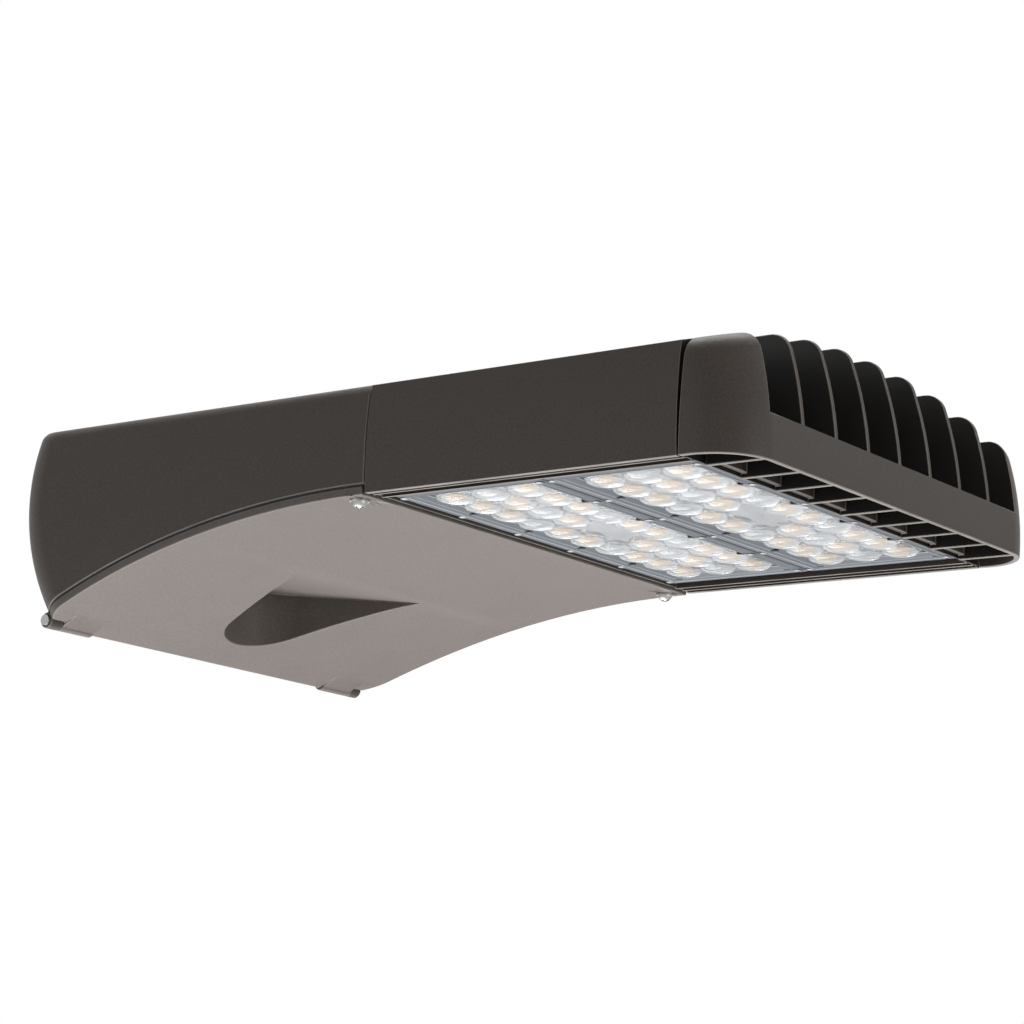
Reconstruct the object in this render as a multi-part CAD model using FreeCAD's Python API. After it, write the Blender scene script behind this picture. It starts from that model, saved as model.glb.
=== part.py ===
"""Area light for a pole arm: a driver housing with a hinged door, a finned heat sink with two
lens modules, and a slotted front bezel.

Millimetres. The origin is the centre of the arm pad, on its flat rear face. +X points away from
the pole towards the bezel, +Z is up and +Y is to the left when looking along +X.
"""
import FreeCAD
import Part
import math
import os

V = FreeCAD.Vector
AHEAD = V(1, 0, 0)
LEFT = V(0, 1, 0)
UP = V(0, 0, 1)
DOWN = V(0, 0, -1)

# ---------------------------------------------------------------- lens modules, which set the body's size
lens_pitch = 26.0
lens_columns = 10           # along Y
lens_rows = 3               # along X
module_border_x = 13.75     # from the lens cells to the frame's edge
module_border_y = 13.5
module_gap = 1.0            # between the two modules
module_rear_gap = 1.0       # heat sink's rear face to the rear module
module_front_gap = 1.7      # front module to the heat sink's front face
module_side_gap = 22.5      # module to the widest side of the body

module_width = lens_rows * lens_pitch + 2 * module_border_x
module_length = lens_columns * lens_pitch + 2 * module_border_y

# ---------------------------------------------------------------- overall castings
arm_to_seam = 294.0         # arm pad to the joint between housing and heat sink
sink_length = 2 * module_width + module_gap + module_rear_gap + module_front_gap
bezel_length = 39.7         # front bezel, joint to the front of the band
body_width = module_length + 2 * module_side_gap  # at the widest height of the bulging side walls
rim_drop = 5.0              # lower rim of heat sink and bezel, below the arm pad's centre
crown_height = 89.5         # top of the crowned back, above the rim
crown_radius = 530.0        # the back's crown from side to side
side_bulge_radius = 320.0   # side walls, seen from the front
side_bulge_height = 28.0    # widest height of the side walls, above the rim
rear_bulge_radius = 150.0   # rear wall, seen from the side
rear_bulge_height = 22.0    # rearmost height of the rear wall, above the rim
front_bulge_radius = 215.0  # bezel and fin ends, seen from the side
front_bulge_height = 4.0    # foremost height of the band, above the rim
rear_corner_radius = 30.0
front_corner_radius = 33.0
top_edge_radius = 9.0       # back to side and rear walls
front_edge_radius = 14.0    # back to the fin ends and bezel corners
wall = 3.5                  # cast wall of all three castings
foot_length = 80.0          # room left under the rim for the deep end of the housing

rim = -rim_drop
seam = arm_to_seam
crown = rim + crown_height

# ---------------------------------------------------------------- joints between castings
bulkhead = 4.0              # wall that closes the housing towards the heat sink
joint_gasket = 0.8
bezel_joint = 0.8           # open joint between heat sink and bezel at the rim
bezel_lean = 2.7            # the same joint opens by this much at the crown
joint_screw = 3.0           # radius of the screws that join the castings
joint_screw_head = 5.0
joint_screw_head_height = 3.5
joint_screw_grip = 9.0
joint_screw_height = 25.0   # above the rim
joint_screw_boss = 6.0
screw_lanes = (1.5, 3.5)    # the screws stand in these gaps between fins, either side of the middle
thread_play = 0.05

sink_start = seam + joint_gasket
sink_end = sink_start + sink_length
bezel_start = sink_end + bezel_joint
front = bezel_start + bezel_length

# ---------------------------------------------------------------- fins and base of the heat sink
fin_count = 9
corner_zone = 28.8          # closed back outboard of the outermost fins, each side
fin_pitch = (body_width - 2 * corner_zone) / (fin_count - 1)
fin_thickness = 3.0
base_height = 10.0          # underside of the base plate, above the rim
base_thickness = 6.0
end_wall = 4.0              # cross walls of the heat sink, front and rear
end_wall_height = 34.0      # their top, above the rim
end_lip = 0.8               # thin lip below each cross wall, round the lens modules
end_lip_lift = 1.0          # its lower edge, above the rim
side_rib_inset = (8.5, 16.3)  # two ribs inside each side rim, from the widest side
side_rib_thickness = 1.6
side_rib_lift = 0.4
wire_groove_width = 9.0
wire_groove_depth = 4.6
wire_groove_end = 20.0      # the groove reaches this far over the front board

band_height = 26.0          # closed band across the front of the bezel
band_wall = 3.5
bar_lift = 3.0              # cross bar that ties the bezel's fins at the joint
bar_height = 12.0
bar_thickness = 4.0
ear_width = 14.0            # local pads of the bar that take the joint screws
ear_top = 31.0

fin_lattice = [(i - (fin_count - 1) / 2) * fin_pitch for i in range(fin_count)]
outer_fin = fin_lattice[-1]
base_low = rim + base_height
base_top = base_low + base_thickness

# ---------------------------------------------------------------- door of the housing
door_curve_radius = 690.0   # underside of the door, seen from the side
door_drop = 0.8             # its front edge lies this far below the rim
door_edge = 5.0             # height of the turned-up edge
door_plate = 3.0
parting_gap = 1.3           # between the door's edge and the housing wall
door_front_gap = 1.4
recess_front = 139.0        # straight front edge of the drop-shaped recess, from the seam
recess_half_width = 58.0
recess_round = 33.0         # radius of its rounded rear end
recess_length = 105.0
recess_rise = 8.2           # the recess floor climbs this much from front to rear
recess_wall = 2.5

# ---------------------------------------------------------------- hinge of the door
hinge_inset = 26.0          # hinge axis ahead of the arm pad
knuckle_radius = 5.0
knuckle_proud = 2.5         # the knuckles stand this far below the door
hinge_pin_radius = 2.0
hinge_play = 0.05
knuckle_relief = 0.6
hinge_side_gap = 55.5       # inner end of each hinge, from the body's widest side
knuckle_length = 27.5       # knuckle on the door
knuckle_fairing = 16.0      # the knuckle runs out into the door over this length
lug_length = 10.0           # lug on the housing, outboard of the knuckle
knuckle_side_gap = 0.5
pin_end_gap = 2.0           # the pin stops this far short of the knuckle's inner end
pin_head_radius = 3.4
pin_head_height = 1.5
door_heel = 4.4             # the door's rear edge is rounded to this radius about the axis
heel_gap = 0.4

hinge_x = hinge_inset
hinge_z = (rim - door_drop - door_curve_radius - knuckle_proud + knuckle_radius
           + math.sqrt(door_curve_radius ** 2 - (seam - hinge_x) ** 2))
hinge_inner = body_width / 2 - hinge_side_gap
lug_start = hinge_inner + knuckle_length + knuckle_side_gap

# ---------------------------------------------------------------- captive screws of the door
door_screw_setback = 11.5   # from the seam
door_screw_inset = 11.5     # from the body's widest side
door_screw_radius = 2.5
door_screw_play = 0.05
door_screw_head = 4.8
door_screw_head_height = 4.0
door_screw_cross = 1.1      # half-width of the cross recess
door_screw_cross_depth = 1.8
door_screw_reach = 5.0      # above the retaining ring
washer_radius = 5.8
washer_thickness = 1.0
washer_gap = 0.3
ring_radius = 4.4
ring_thickness = 0.8
screw_boss = 7.0
screw_slot_play = 0.3
screw_slot_run = 2.4        # the boss slot runs forward so that the door swings with its screws
screw_boss_height = 17.0

door_screw_side = body_width / 2 - door_screw_inset
door_screw_x = seam - door_screw_setback

# ---------------------------------------------------------------- arm mounting
pad_stand = 2.5             # the flat pad stands this proud of the rear bulge
pad_width = 100.0
pad_height = 94.0
pad_corner = 8.0
arm_bolt_radius = 5.5
arm_bolt_spacing = 70.0
wire_entry_radius = 12.5
arm_gasket_inner = 15.5     # ring in a groove of the pad round the wire entry
arm_gasket_outer = 20.0
arm_gasket_depth = 1.5
pad_root = 20.0             # the pad's sides run into the rear wall within this depth

rear_bulge = pad_stand

# ---------------------------------------------------------------- inside the lens modules
blank_columns = (4, 5)      # no dome there in the middle row
lit_columns = ((0, 1, 2, 4, 5, 7, 8, 9), (1, 3, 6, 8), (0, 1, 2, 4, 5, 7, 8, 9))
dome_radius = 11.8          # at the plate
dome_height = 4.7
optic_thickness = 2.5
optic_inset = 10.0          # plate's edge inside the frame's edge
optic_top = 7.6             # upper face of the lens plate, above the rim
board_thickness = 1.6
board_margin = 4.0          # board edge inside the frame's edge
led_side = 3.5
led_height = 0.7
gasket_width = 3.0
frame_low = 2.0             # lower face of the frame's flange, above the rim
frame_flange = 7.0
frame_slope = 7.5           # width of the frame's sloping inner face
frame_sheet = 1.6
frame_screw_count = 6       # along each long side
frame_screw_end = 8.5       # outermost screws from the frame's ends
frame_screw_inset = 4.2
frame_post_radius = 3.4
frame_screw_radius = 1.5
frame_screw_head = 2.7
frame_screw_head_height = 1.2
frame_screw_bite = 5.0      # thread in the base plate
sensor_radius = 1.0         # two small sensors in the middle of the front board
sensor_spread = 6.0

module_centres = {
    "rear": sink_start + module_rear_gap + module_width / 2,
    "front": sink_start + module_rear_gap + module_width * 1.5 + module_gap,
}
frame_screw_spacing = (module_length - 2 * frame_screw_end) / (frame_screw_count - 1)
board_low = base_low - board_thickness
optic_low = rim + optic_top - optic_thickness

# ---------------------------------------------------------------- electrical gear in the housing
driver_clearance = 69.0     # length of the housing that the driver leaves free
driver_width = 70.0
driver_height = 40.0
driver_tab = 11.0           # mounting tab beyond each end of the can
driver_tab_thickness = 2.0
driver_side_gap = 103.0     # its middle, from the body's widest side
driver_setback = 30.0       # front end, from the bulkhead
gear_top = 68.0             # upper face of everything that hangs from the back, above the rim
boss_radius = 5.0
gear_screw_radius = 2.0
gear_screw_head = 3.8
gear_screw_head_height = 2.4
gear_screw_bite = 7.0
driver_screw_side = 27.0    # from the driver's middle

surge_length = 58.0
surge_width = 46.0
surge_height = 32.0
surge_corner = 5.0
surge_setback = 95.0        # middle, from the seam
surge_side_gap = 70.0       # middle, from the body's widest side
surge_tab = 9.0
surge_tab_thickness = 2.0

block_length = 44.0
block_width = 26.0
block_height = 24.0
block_inset = 98.0          # middle, ahead of the arm pad
block_beside = 34.0         # middle, from the surge protector's middle line
block_poles = 3
block_pitch = 13.0
block_clamp_radius = 2.6
block_clamp_depth = 2.0
block_foot = 8.0
block_foot_thickness = 3.0
block_entry_radius = 2.6
block_entry_depth = 6.0

ground_beside = (56.0, 32.0)  # ground screw, ahead of and beside the terminal block

lead_radius = 1.4
led_lead_radius = 1.2
led_lead_spread = 3.4       # distance between the two low-voltage leads
grommet_radius = 4.5
grommet_flange = 6.5
grommet_flange_thickness = 1.5
lead_bend = 6.0
led_lead_bend = 2.2
lead_run = 14.0             # straight length out of a terminal or case
lead_step = 8.0             # spacing of leads at their ends
lead_floor = 8.0            # leads leave a case this far above its lower face

driver_length = arm_to_seam - driver_clearance
driver_side = body_width / 2 - driver_side_gap
surge_side = body_width / 2 - surge_side_gap
block_side = surge_side - block_beside
gear_z = rim + gear_top
lead_z = base_low + wire_groove_depth - led_lead_radius - 0.2


# ================================================================ small helpers
def box(x, y, z):
    """Box from three (low, high) pairs."""
    return Part.makeBox(x[1] - x[0], y[1] - y[0], z[1] - z[0], V(x[0], y[0], z[0]))


def rod(radius, start, axis, length):
    return Part.makeCylinder(radius, length, V(*start), axis)


def fused(shapes):
    shapes = list(shapes)
    body = shapes[0].multiFuse(shapes[1:]) if len(shapes) > 1 else shapes[0]
    return body.removeSplitter()


def both_sides(shape):
    """The shape and its mirror image on the other side of the middle plane."""
    return [shape, shape.mirror(V(0, 0, 0), LEFT)]


def rounded_plate(x, y, z, corner):
    """Box with its four vertical edges rounded."""
    block = box(x, y, z)
    edges = [e for e in block.Edges if abs(e.tangentAt(e.FirstParameter).z) > 0.9]
    return block.makeFillet(corner, edges)


def prism(points, direction):
    """Straight-sided outline swept along a direction."""
    return Part.Face(Part.makePolygon([V(*p) for p in points + points[:1]])).extrude(direction)


def lead(points, radius, bend):
    """Insulated wire along straight runs joined by tangent arcs."""
    places = [V(*p) for p in points]
    edges = []
    start = places[0]
    for here, after in zip(places[1:-1], places[2:]):
        back = (start - here).normalize()
        on = (after - here).normalize()
        half = back.getAngle(on) / 2
        reach = bend / math.tan(half)
        middle = (back + on).normalize()
        arc_in = here + back * reach
        arc_out = here + on * reach
        arc_mid = here + middle * (bend / math.sin(half) - bend)
        edges.append(Part.LineSegment(start, arc_in).toShape())
        edges.append(Part.Arc(arc_in, arc_mid, arc_out).toShape())
        start = arc_out
    edges.append(Part.LineSegment(start, places[-1]).toShape())
    path = Part.Wire(edges)
    ring = Part.Wire(Part.makeCircle(radius, places[0], places[1] - places[0]))
    return path.makePipeShell([ring], True, False)


def pan_screw(place, axis, radius, length, head, head_height):
    """Screw with a domed head; place is under the head, the shank runs along the axis."""
    dome = (head ** 2 + head_height ** 2) / (2 * head_height)
    half = math.asin(head / dome) / 2
    tip = V(0, 0, -head_height)
    shoulder = V(head, 0, 0)
    middle = V(dome * math.sin(half), 0, dome - head_height - dome * math.cos(half))
    corners = [shoulder, V(radius, 0, 0), V(radius, 0, length), V(0, 0, length), tip]
    edges = [Part.Arc(tip, middle, shoulder).toShape()]
    edges += [Part.LineSegment(a, b).toShape() for a, b in zip(corners, corners[1:])]
    screw = Part.Face(Part.Wire(edges)).revolve(V(0, 0, 0), UP, 360)
    screw.Placement = FreeCAD.Placement(V(*place), FreeCAD.Rotation(UP, axis))
    return screw


# ================================================================ outer skin of the castings
def barrel(x_low, x_high, z_low, inset=0.0):
    """Crowned back and bulging sides between two x planes, open-ended below at z_low."""
    length = x_high - x_low
    side_centre = body_width / 2 - side_bulge_radius
    side_z = rim + side_bulge_height
    left = rod(side_bulge_radius - inset, (x_low, side_centre, side_z), AHEAD, length)
    right = rod(side_bulge_radius - inset, (x_low, -side_centre, side_z), AHEAD, length)
    back = rod(crown_radius - inset, (x_low, 0, crown - crown_radius), AHEAD, length)
    room = box((x_low, x_high), (-body_width, body_width), (z_low, crown + inset + 1))
    return left.common(right).common(back).common(room)


def door_arc(raised):
    """Solid below the door's curved underside, raised by the given height."""
    return rod(door_curve_radius + raised,
               (seam, -body_width, rim - door_drop - door_curve_radius), LEFT, 2 * body_width)


def is_top_edge(edge, low_x, high_x):
    b = edge.BoundBox
    return b.ZMin > rim + crown_height / 2 and b.XMin > low_x and b.XMax < high_x


def is_corner_edge(edge, low_x, high_x):
    b = edge.BoundBox
    across = b.YMax - b.YMin
    return (b.ZMax - b.ZMin > crown_height * 0.4 and across < crown_height * 0.4
            and b.XMin > low_x and b.XMax < high_x)


def rear_skin(inset, raised, end):
    """Outer or inner form of the housing and door, cut off below at the raised door curve."""
    centre_x = rear_bulge + rear_bulge_radius
    body = barrel(-rear_bulge_radius, end, rim - foot_length, inset)
    bulge = rod(rear_bulge_radius - inset, (centre_x, -body_width, rim + rear_bulge_height),
                LEFT, 2 * body_width)
    ahead = box((centre_x, end), (-body_width, body_width), (rim - foot_length, crown))
    body = body.common(bulge.fuse(ahead)).removeSplitter()
    corners = [e for e in body.Edges if is_corner_edge(e, -rear_bulge_radius, seam / 2)]
    body = body.makeFillet(rear_corner_radius - inset, corners)
    tops = [e for e in body.Edges if is_top_edge(e, -rear_bulge_radius, end + 1)
            and not (e.BoundBox.XMax - e.BoundBox.XMin < 0.01 and e.BoundBox.XMax > end - 0.1)]
    body = body.makeFillet(top_edge_radius - inset, tops)
    return body.cut(door_arc(raised))


def front_skin(inset):
    """Outer or inner form of the bezel."""
    start = sink_end - foot_length
    centre_x = front - front_bulge_radius
    body = barrel(start, front + 1, rim - 1, inset)
    bulge = rod(front_bulge_radius - inset, (centre_x, -body_width, rim + front_bulge_height),
                LEFT, 2 * body_width)
    body = body.common(bulge).removeSplitter()
    corners = [e for e in body.Edges if is_corner_edge(e, sink_end, front + 1)]
    body = body.makeFillet(front_corner_radius - inset, corners)
    tops = [e for e in body.Edges if is_top_edge(e, start - 1, front + 1)
            and not (e.BoundBox.XMax - e.BoundBox.XMin < 0.01 and e.BoundBox.XMin < start + 0.1)]
    sides = [e for e in tops if e.BoundBox.XMin < start + 0.1]
    ends = [e for e in tops if e.BoundBox.XMin >= start + 0.1]
    body = body.makeFillet(front_edge_radius - inset, sides + ends)
    return body.common(box((start, front + 1), (-body_width, body_width), (rim, crown)))


# ================================================================ shared places
def gear_boss(x, y):
    """Round boss that hangs from the back down to the gear's mounting height."""
    return rod(boss_radius, (x, y, gear_z), UP, crown - gear_z)


def gear_hole(x, y):
    return rod(gear_screw_radius + thread_play, (x, y, gear_z - 1), UP, gear_screw_bite + 2)


driver_low_x = seam - bulkhead - driver_setback - driver_length
driver_high_x = driver_low_x + driver_length
driver_holes = [(x, driver_side + s * driver_screw_side)
                for x in (driver_low_x - driver_tab / 2, driver_high_x + driver_tab / 2)
                for s in (-1, 1)]
surge_x = seam - surge_setback
surge_holes = [(surge_x + s * (surge_length + surge_tab) / 2, -surge_side) for s in (-1, 1)]
block_x = block_inset
block_holes = [(block_x + s * (block_length + block_foot) / 2, -block_side) for s in (-1, 1)]
ground_hole = (block_x + ground_beside[0], -block_side + ground_beside[1])
gear_holes = driver_holes + surge_holes + block_holes + [ground_hole]

joint_places = [(s * n * fin_pitch, rim + joint_screw_height) for s in (-1, 1) for n in screw_lanes]
door_screw_places = {"right": -door_screw_side, "left": door_screw_side}


# ================================================================ housing
def driver_housing():
    end = seam
    shell = rear_skin(0.0, door_edge + parting_gap, end)
    inside = rear_skin(wall, 0.0, seam - bulkhead)
    body = shell.cut(inside)

    pad = rounded_pad(0.0, pad_root).cut(inside)
    pieces = [body, pad]

    keep = rear_skin(wall / 2, door_edge + parting_gap, seam - bulkhead / 2)
    pieces += [gear_boss(*place).common(keep) for place in gear_holes]
    boss = fused([rod(screw_boss, (door_screw_x, door_screw_side, rim + door_edge + parting_gap + ring_thickness),
                      UP, screw_boss_height),
                  box((door_screw_x, seam - bulkhead / 2),
                      (door_screw_side - screw_boss, door_screw_side + screw_boss),
                      (rim + door_edge + parting_gap + ring_thickness,
                       rim + door_edge + parting_gap + ring_thickness + screw_boss_height))])
    pieces += both_sides(boss.common(keep))
    body = fused(pieces).cut(door_heel_room())
    lug = rod(knuckle_radius, (hinge_x, lug_start, hinge_z), LEFT, lug_length)
    body = fused([body] + both_sides(lug))

    knuckle_room = rod(knuckle_radius + knuckle_relief,
                       (hinge_x, hinge_inner - knuckle_side_gap, hinge_z), LEFT,
                       knuckle_length + 2 * knuckle_side_gap)
    cuts = both_sides(knuckle_room)
    cuts += both_sides(rod(hinge_pin_radius, (hinge_x, lug_start - 1, hinge_z), LEFT, lug_length + 2))
    cuts += [gear_hole(*place) for place in gear_holes]
    for side in door_screw_places.values():
        low = rim + door_edge
        slot = door_screw_radius + screw_slot_play
        cuts.append(rod(slot, (door_screw_x, side, low), UP, screw_boss_height))
        cuts.append(rod(slot, (door_screw_x + screw_slot_run, side, low), UP, screw_boss_height))
        cuts.append(box((door_screw_x, door_screw_x + screw_slot_run), (side - slot, side + slot),
                        (low, low + screw_boss_height)))
    for s in (-1, 1):
        cuts.append(rod(arm_bolt_radius, (-1, 0, s * arm_bolt_spacing / 2), AHEAD, rear_bulge_radius))
    cuts.append(rod(wire_entry_radius, (-1, 0, 0), AHEAD, rear_bulge_radius))
    cuts.append(arm_gasket())
    for y, z in joint_places:
        cuts.append(rod(joint_screw + thread_play, (seam - bulkhead - 1, y, z), AHEAD, bulkhead + 2))
    cuts.append(rod(grommet_radius, (seam - bulkhead - 1, 0, lead_z), AHEAD, bulkhead + 2))
    for cut in cuts:
        body = body.cut(cut)
    return body


def door_heel_room():
    """Room in which the rounded rear edge of the door turns about the hinge axis."""
    return rod(door_heel + heel_gap, (hinge_x, -body_width, hinge_z), LEFT, 2 * body_width)


def rounded_pad(start, end):
    """Block with rounded corners that stands behind the rear wall as the arm pad."""
    pad = box((start, end), (-pad_width / 2, pad_width / 2), (-pad_height / 2, pad_height / 2))
    along = [e for e in pad.Edges if abs(e.tangentAt(e.FirstParameter).x) > 0.9]
    return pad.makeFillet(pad_corner, along)


def arm_gasket():
    """Soft ring in a groove of the pad, flush with its face."""
    ring = rod(arm_gasket_outer, (0, 0, 0), AHEAD, arm_gasket_depth)
    return ring.cut(rod(arm_gasket_inner, (-1, 0, 0), AHEAD, arm_gasket_depth + 2))


# ================================================================ heat sink
def heat_sink():
    outer = barrel(sink_start, sink_end, rim)
    inner = barrel(sink_start - 1, sink_end + 1, rim - 1, wall)
    flanks = outer.cut(inner)
    centre_room = box((sink_start - 1, sink_end + 1), (-outer_fin, outer_fin), (rim - 1, crown + 1))
    flanks = flanks.cut(centre_room)
    pieces = [flanks]
    for y in fin_lattice:
        fin = box((sink_start, sink_end), (y - fin_thickness / 2, y + fin_thickness / 2),
                  (base_low, crown + 1))
        pieces.append(fin.common(outer))
    plate = box((sink_start, sink_end), (-body_width, body_width), (base_low, base_top))
    pieces.append(plate.common(outer))
    for inset in side_rib_inset:
        y = body_width / 2 - inset
        rib = box((sink_start, sink_end), (y - side_rib_thickness, y), (rim + side_rib_lift, base_low))
        pieces += both_sides(rib)
    for x in (sink_start, sink_end - end_wall):
        pieces.append(box((x, x + end_wall), (-outer_fin, outer_fin),
                          (base_low, rim + end_wall_height)))
    for x in (sink_start, sink_end - end_lip):
        lip = box((x, x + end_lip), (-body_width, body_width), (rim + end_lip_lift, base_low))
        pieces.append(lip.common(outer))
    pieces += [rod(joint_screw_boss, (sink_start, y, z), AHEAD, joint_screw_grip)
               for y, z in joint_places]
    body = fused(pieces)

    cuts = [box((sink_start - 1, module_centres["front"] - module_width / 2 + wire_groove_end),
                (-wire_groove_width / 2, wire_groove_width / 2),
                (base_low - 1, base_low + wire_groove_depth)),
            rod(grommet_radius, (sink_start - 1, 0, lead_z), AHEAD, end_wall + 1)]
    cuts += [rod(joint_screw, (sink_start - 1, y, z), AHEAD, joint_screw_grip + 1)
             for y, z in joint_places]
    cuts += [rod(joint_screw + thread_play, (sink_end - end_wall - 1, y, z), AHEAD, end_wall + 2)
             for y, z in joint_places]
    cuts += [rod(frame_screw_radius, (x, y, base_low - 1), UP, frame_screw_bite + 1)
             for x, y in frame_screw_places()]
    for cut in cuts:
        body = body.cut(cut)
    return body


def joint_gasket_sheet():
    """Thin seal between housing and heat sink, set in a little from the outside."""
    inset = wall / 2
    outer = barrel(seam, sink_start, rim + door_edge + parting_gap + 1, inset)
    inner = barrel(seam - 1, sink_start + 1, rim, inset + wall * 2)
    low = rim + door_edge + parting_gap + 1 + wall * 2
    window = inner.common(box((seam - 1, sink_start + 1), (-body_width, body_width),
                              (low, rim + end_wall_height - wall * 2)))
    strip = outer.common(box((seam, sink_start), (-body_width, body_width),
                             (rim, rim + end_wall_height)))
    body = strip.cut(window)
    for y, z in joint_places:
        collar = rod(joint_screw_head, (seam, y, z), AHEAD, joint_gasket)
        body = body.fuse(collar)
    collar = rod(grommet_flange, (seam, 0, lead_z), AHEAD, joint_gasket)
    body = body.fuse(collar.common(strip)).removeSplitter()
    for y, z in joint_places:
        body = body.cut(rod(joint_screw + thread_play, (seam - 1, y, z), AHEAD, joint_gasket + 2))
    return body.cut(rod(grommet_radius, (seam - 1, 0, lead_z), AHEAD, joint_gasket + 2))


# ================================================================ bezel
def front_bezel():
    outer = front_skin(0.0)
    inner = front_skin(band_wall)
    lean = prism([(bezel_start, -body_width, rim - 1),
                  (front + 1, -body_width, rim - 1),
                  (front + 1, -body_width, crown + 1),
                  (bezel_start + bezel_lean, -body_width, crown + 1)], V(0, 2 * body_width, 0))
    skin = outer.cut(inner.fuse(inner.translated(DOWN * band_wall)))
    band = box((bezel_start, front + 1), (-body_width, body_width), (rim - 1, rim + band_height))
    posts = [box((bezel_start, front + 1), (outer_fin, body_width), (rim - 1, crown + 1))]
    posts = both_sides(posts[0])
    pieces = [skin.common(region) for region in [band] + posts]
    for y in fin_lattice:
        fin = box((bezel_start, front + 1), (y - fin_thickness / 2, y + fin_thickness / 2),
                  (rim, crown + 1))
        pieces.append(fin.common(outer))
    pieces.append(box((bezel_start, bezel_start + bar_thickness), (-outer_fin, outer_fin),
                      (rim + bar_lift, rim + bar_lift + bar_height)))
    pieces += [box((bezel_start, bezel_start + bar_thickness), (y - ear_width / 2, y + ear_width / 2),
                   (rim + bar_lift, rim + ear_top)) for y, _ in joint_places]
    body = fused(pieces).common(lean)
    for y, z in joint_places:
        body = body.cut(rod(joint_screw, (bezel_start - 1, y, z), AHEAD, bar_thickness + 2))
    return body


def casting_screws():
    """Screws through the bulkhead into the heat sink, and through its front wall into the bezel."""
    to_sink = [pan_screw((seam - bulkhead, y, z), AHEAD, joint_screw,
                         bulkhead + joint_gasket + joint_screw_grip - 1, joint_screw_head,
                         joint_screw_head_height) for y, z in joint_places]
    to_bezel = [pan_screw((sink_end - end_wall, y, z), AHEAD, joint_screw,
                          end_wall + bezel_joint + bar_thickness, joint_screw_head,
                          joint_screw_head_height) for y, z in joint_places]
    return to_sink, to_bezel


# ================================================================ door
def recess_outline(grow):
    """Drop-shaped outline: straight front edge, sides that close onto a round rear end."""
    x_front = seam - recess_front + grow
    centre = seam - recess_front - recess_length + recess_round
    half = recess_half_width + grow
    radius = recess_round + grow
    reach = math.hypot(x_front - centre, half)
    swing = math.atan2(half, x_front - centre) + math.acos(radius / reach)
    touch_x = centre + radius * math.cos(swing)
    touch_y = radius * math.sin(swing)
    low = rim - foot_length
    corners = [V(x_front, -half, low), V(x_front, half, low),
               V(touch_x, touch_y, low), V(touch_x, -touch_y, low)]
    rear = V(centre - radius, 0, low)
    edges = [Part.LineSegment(corners[0], corners[1]).toShape(),
             Part.LineSegment(corners[1], corners[2]).toShape(),
             Part.Arc(corners[2], rear, corners[3]).toShape(),
             Part.LineSegment(corners[3], corners[0]).toShape()]
    return Part.Face(Part.Wire(edges)).extrude(UP * (foot_length + crown_height))


def under_recess_floor(lift):
    """Everything below the gently climbing recess floor, raised by the given height."""
    start = door_height(recess_front) + lift
    climb = recess_rise / recess_length
    x_front = seam - recess_front
    far = seam - arm_to_seam
    return prism([(seam, -body_width, rim - foot_length), (seam, -body_width, start - climb * (seam - x_front)),
                  (far, -body_width, start + climb * (x_front - far)), (far, -body_width, rim - foot_length)],
                 V(0, 2 * body_width, 0))


def door_height(setback):
    """Height of the door's underside at a distance behind the seam."""
    fall = door_curve_radius - math.sqrt(door_curve_radius ** 2 - setback ** 2)
    return rim - door_drop - fall


def driver_door():
    end = seam - door_front_gap
    outer = rear_skin(0.0, 0.0, end).common(door_arc(door_edge))
    hollow = rear_skin(wall - 0.5, door_plate, end - door_plate)
    body = outer.cut(hollow)

    pan = recess_outline(recess_wall).common(under_recess_floor(recess_wall)).cut(door_arc(0.0))
    body = body.fuse(pan)
    body = body.cut(recess_outline(0.0).common(under_recess_floor(0.0)))
    boss = rod(washer_radius, (door_screw_x, door_screw_side, rim), UP, door_edge - door_drop)
    body = fused([body] + both_sides(boss.common(outer)))
    behind = box((-rear_bulge_radius, hinge_x), (-body_width, body_width), (rim - foot_length, crown))
    heel = rod(door_heel, (hinge_x, -body_width, hinge_z), LEFT, 2 * body_width)
    body = body.cut(behind.cut(heel))
    knuckle = rod(knuckle_radius, (hinge_x, hinge_inner, hinge_z), LEFT, knuckle_length)
    run_out = hinge_x + knuckle_fairing
    skin_z = door_height(seam - run_out)
    fairing = prism([(hinge_x, hinge_inner, hinge_z - knuckle_radius), (run_out, hinge_inner, skin_z),
                     (run_out, hinge_inner, skin_z + door_plate), (hinge_x, hinge_inner, hinge_z)],
                    LEFT * knuckle_length)
    body = fused([body] + both_sides(knuckle) + both_sides(fairing))

    cuts = both_sides(rod(knuckle_radius + knuckle_relief,
                          (hinge_x, lug_start - knuckle_side_gap, hinge_z), LEFT,
                          lug_length + 2 * knuckle_side_gap + pin_head_height))
    cuts += both_sides(rod(hinge_pin_radius + hinge_play, (hinge_x, hinge_inner - 1, hinge_z), LEFT,
                           knuckle_length + 2))
    cuts += both_sides(rod(door_screw_radius + door_screw_play,
                           (door_screw_x, door_screw_side, rim - door_screw_head_height), UP,
                           door_screw_head_height + 2 * door_edge))
    cuts += both_sides(rod(washer_radius + door_screw_play,
                           (door_screw_x, door_screw_side, rim - 4 * door_drop), UP, 3 * door_drop))
    for cut in cuts:
        body = body.cut(cut)
    return body


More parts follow.
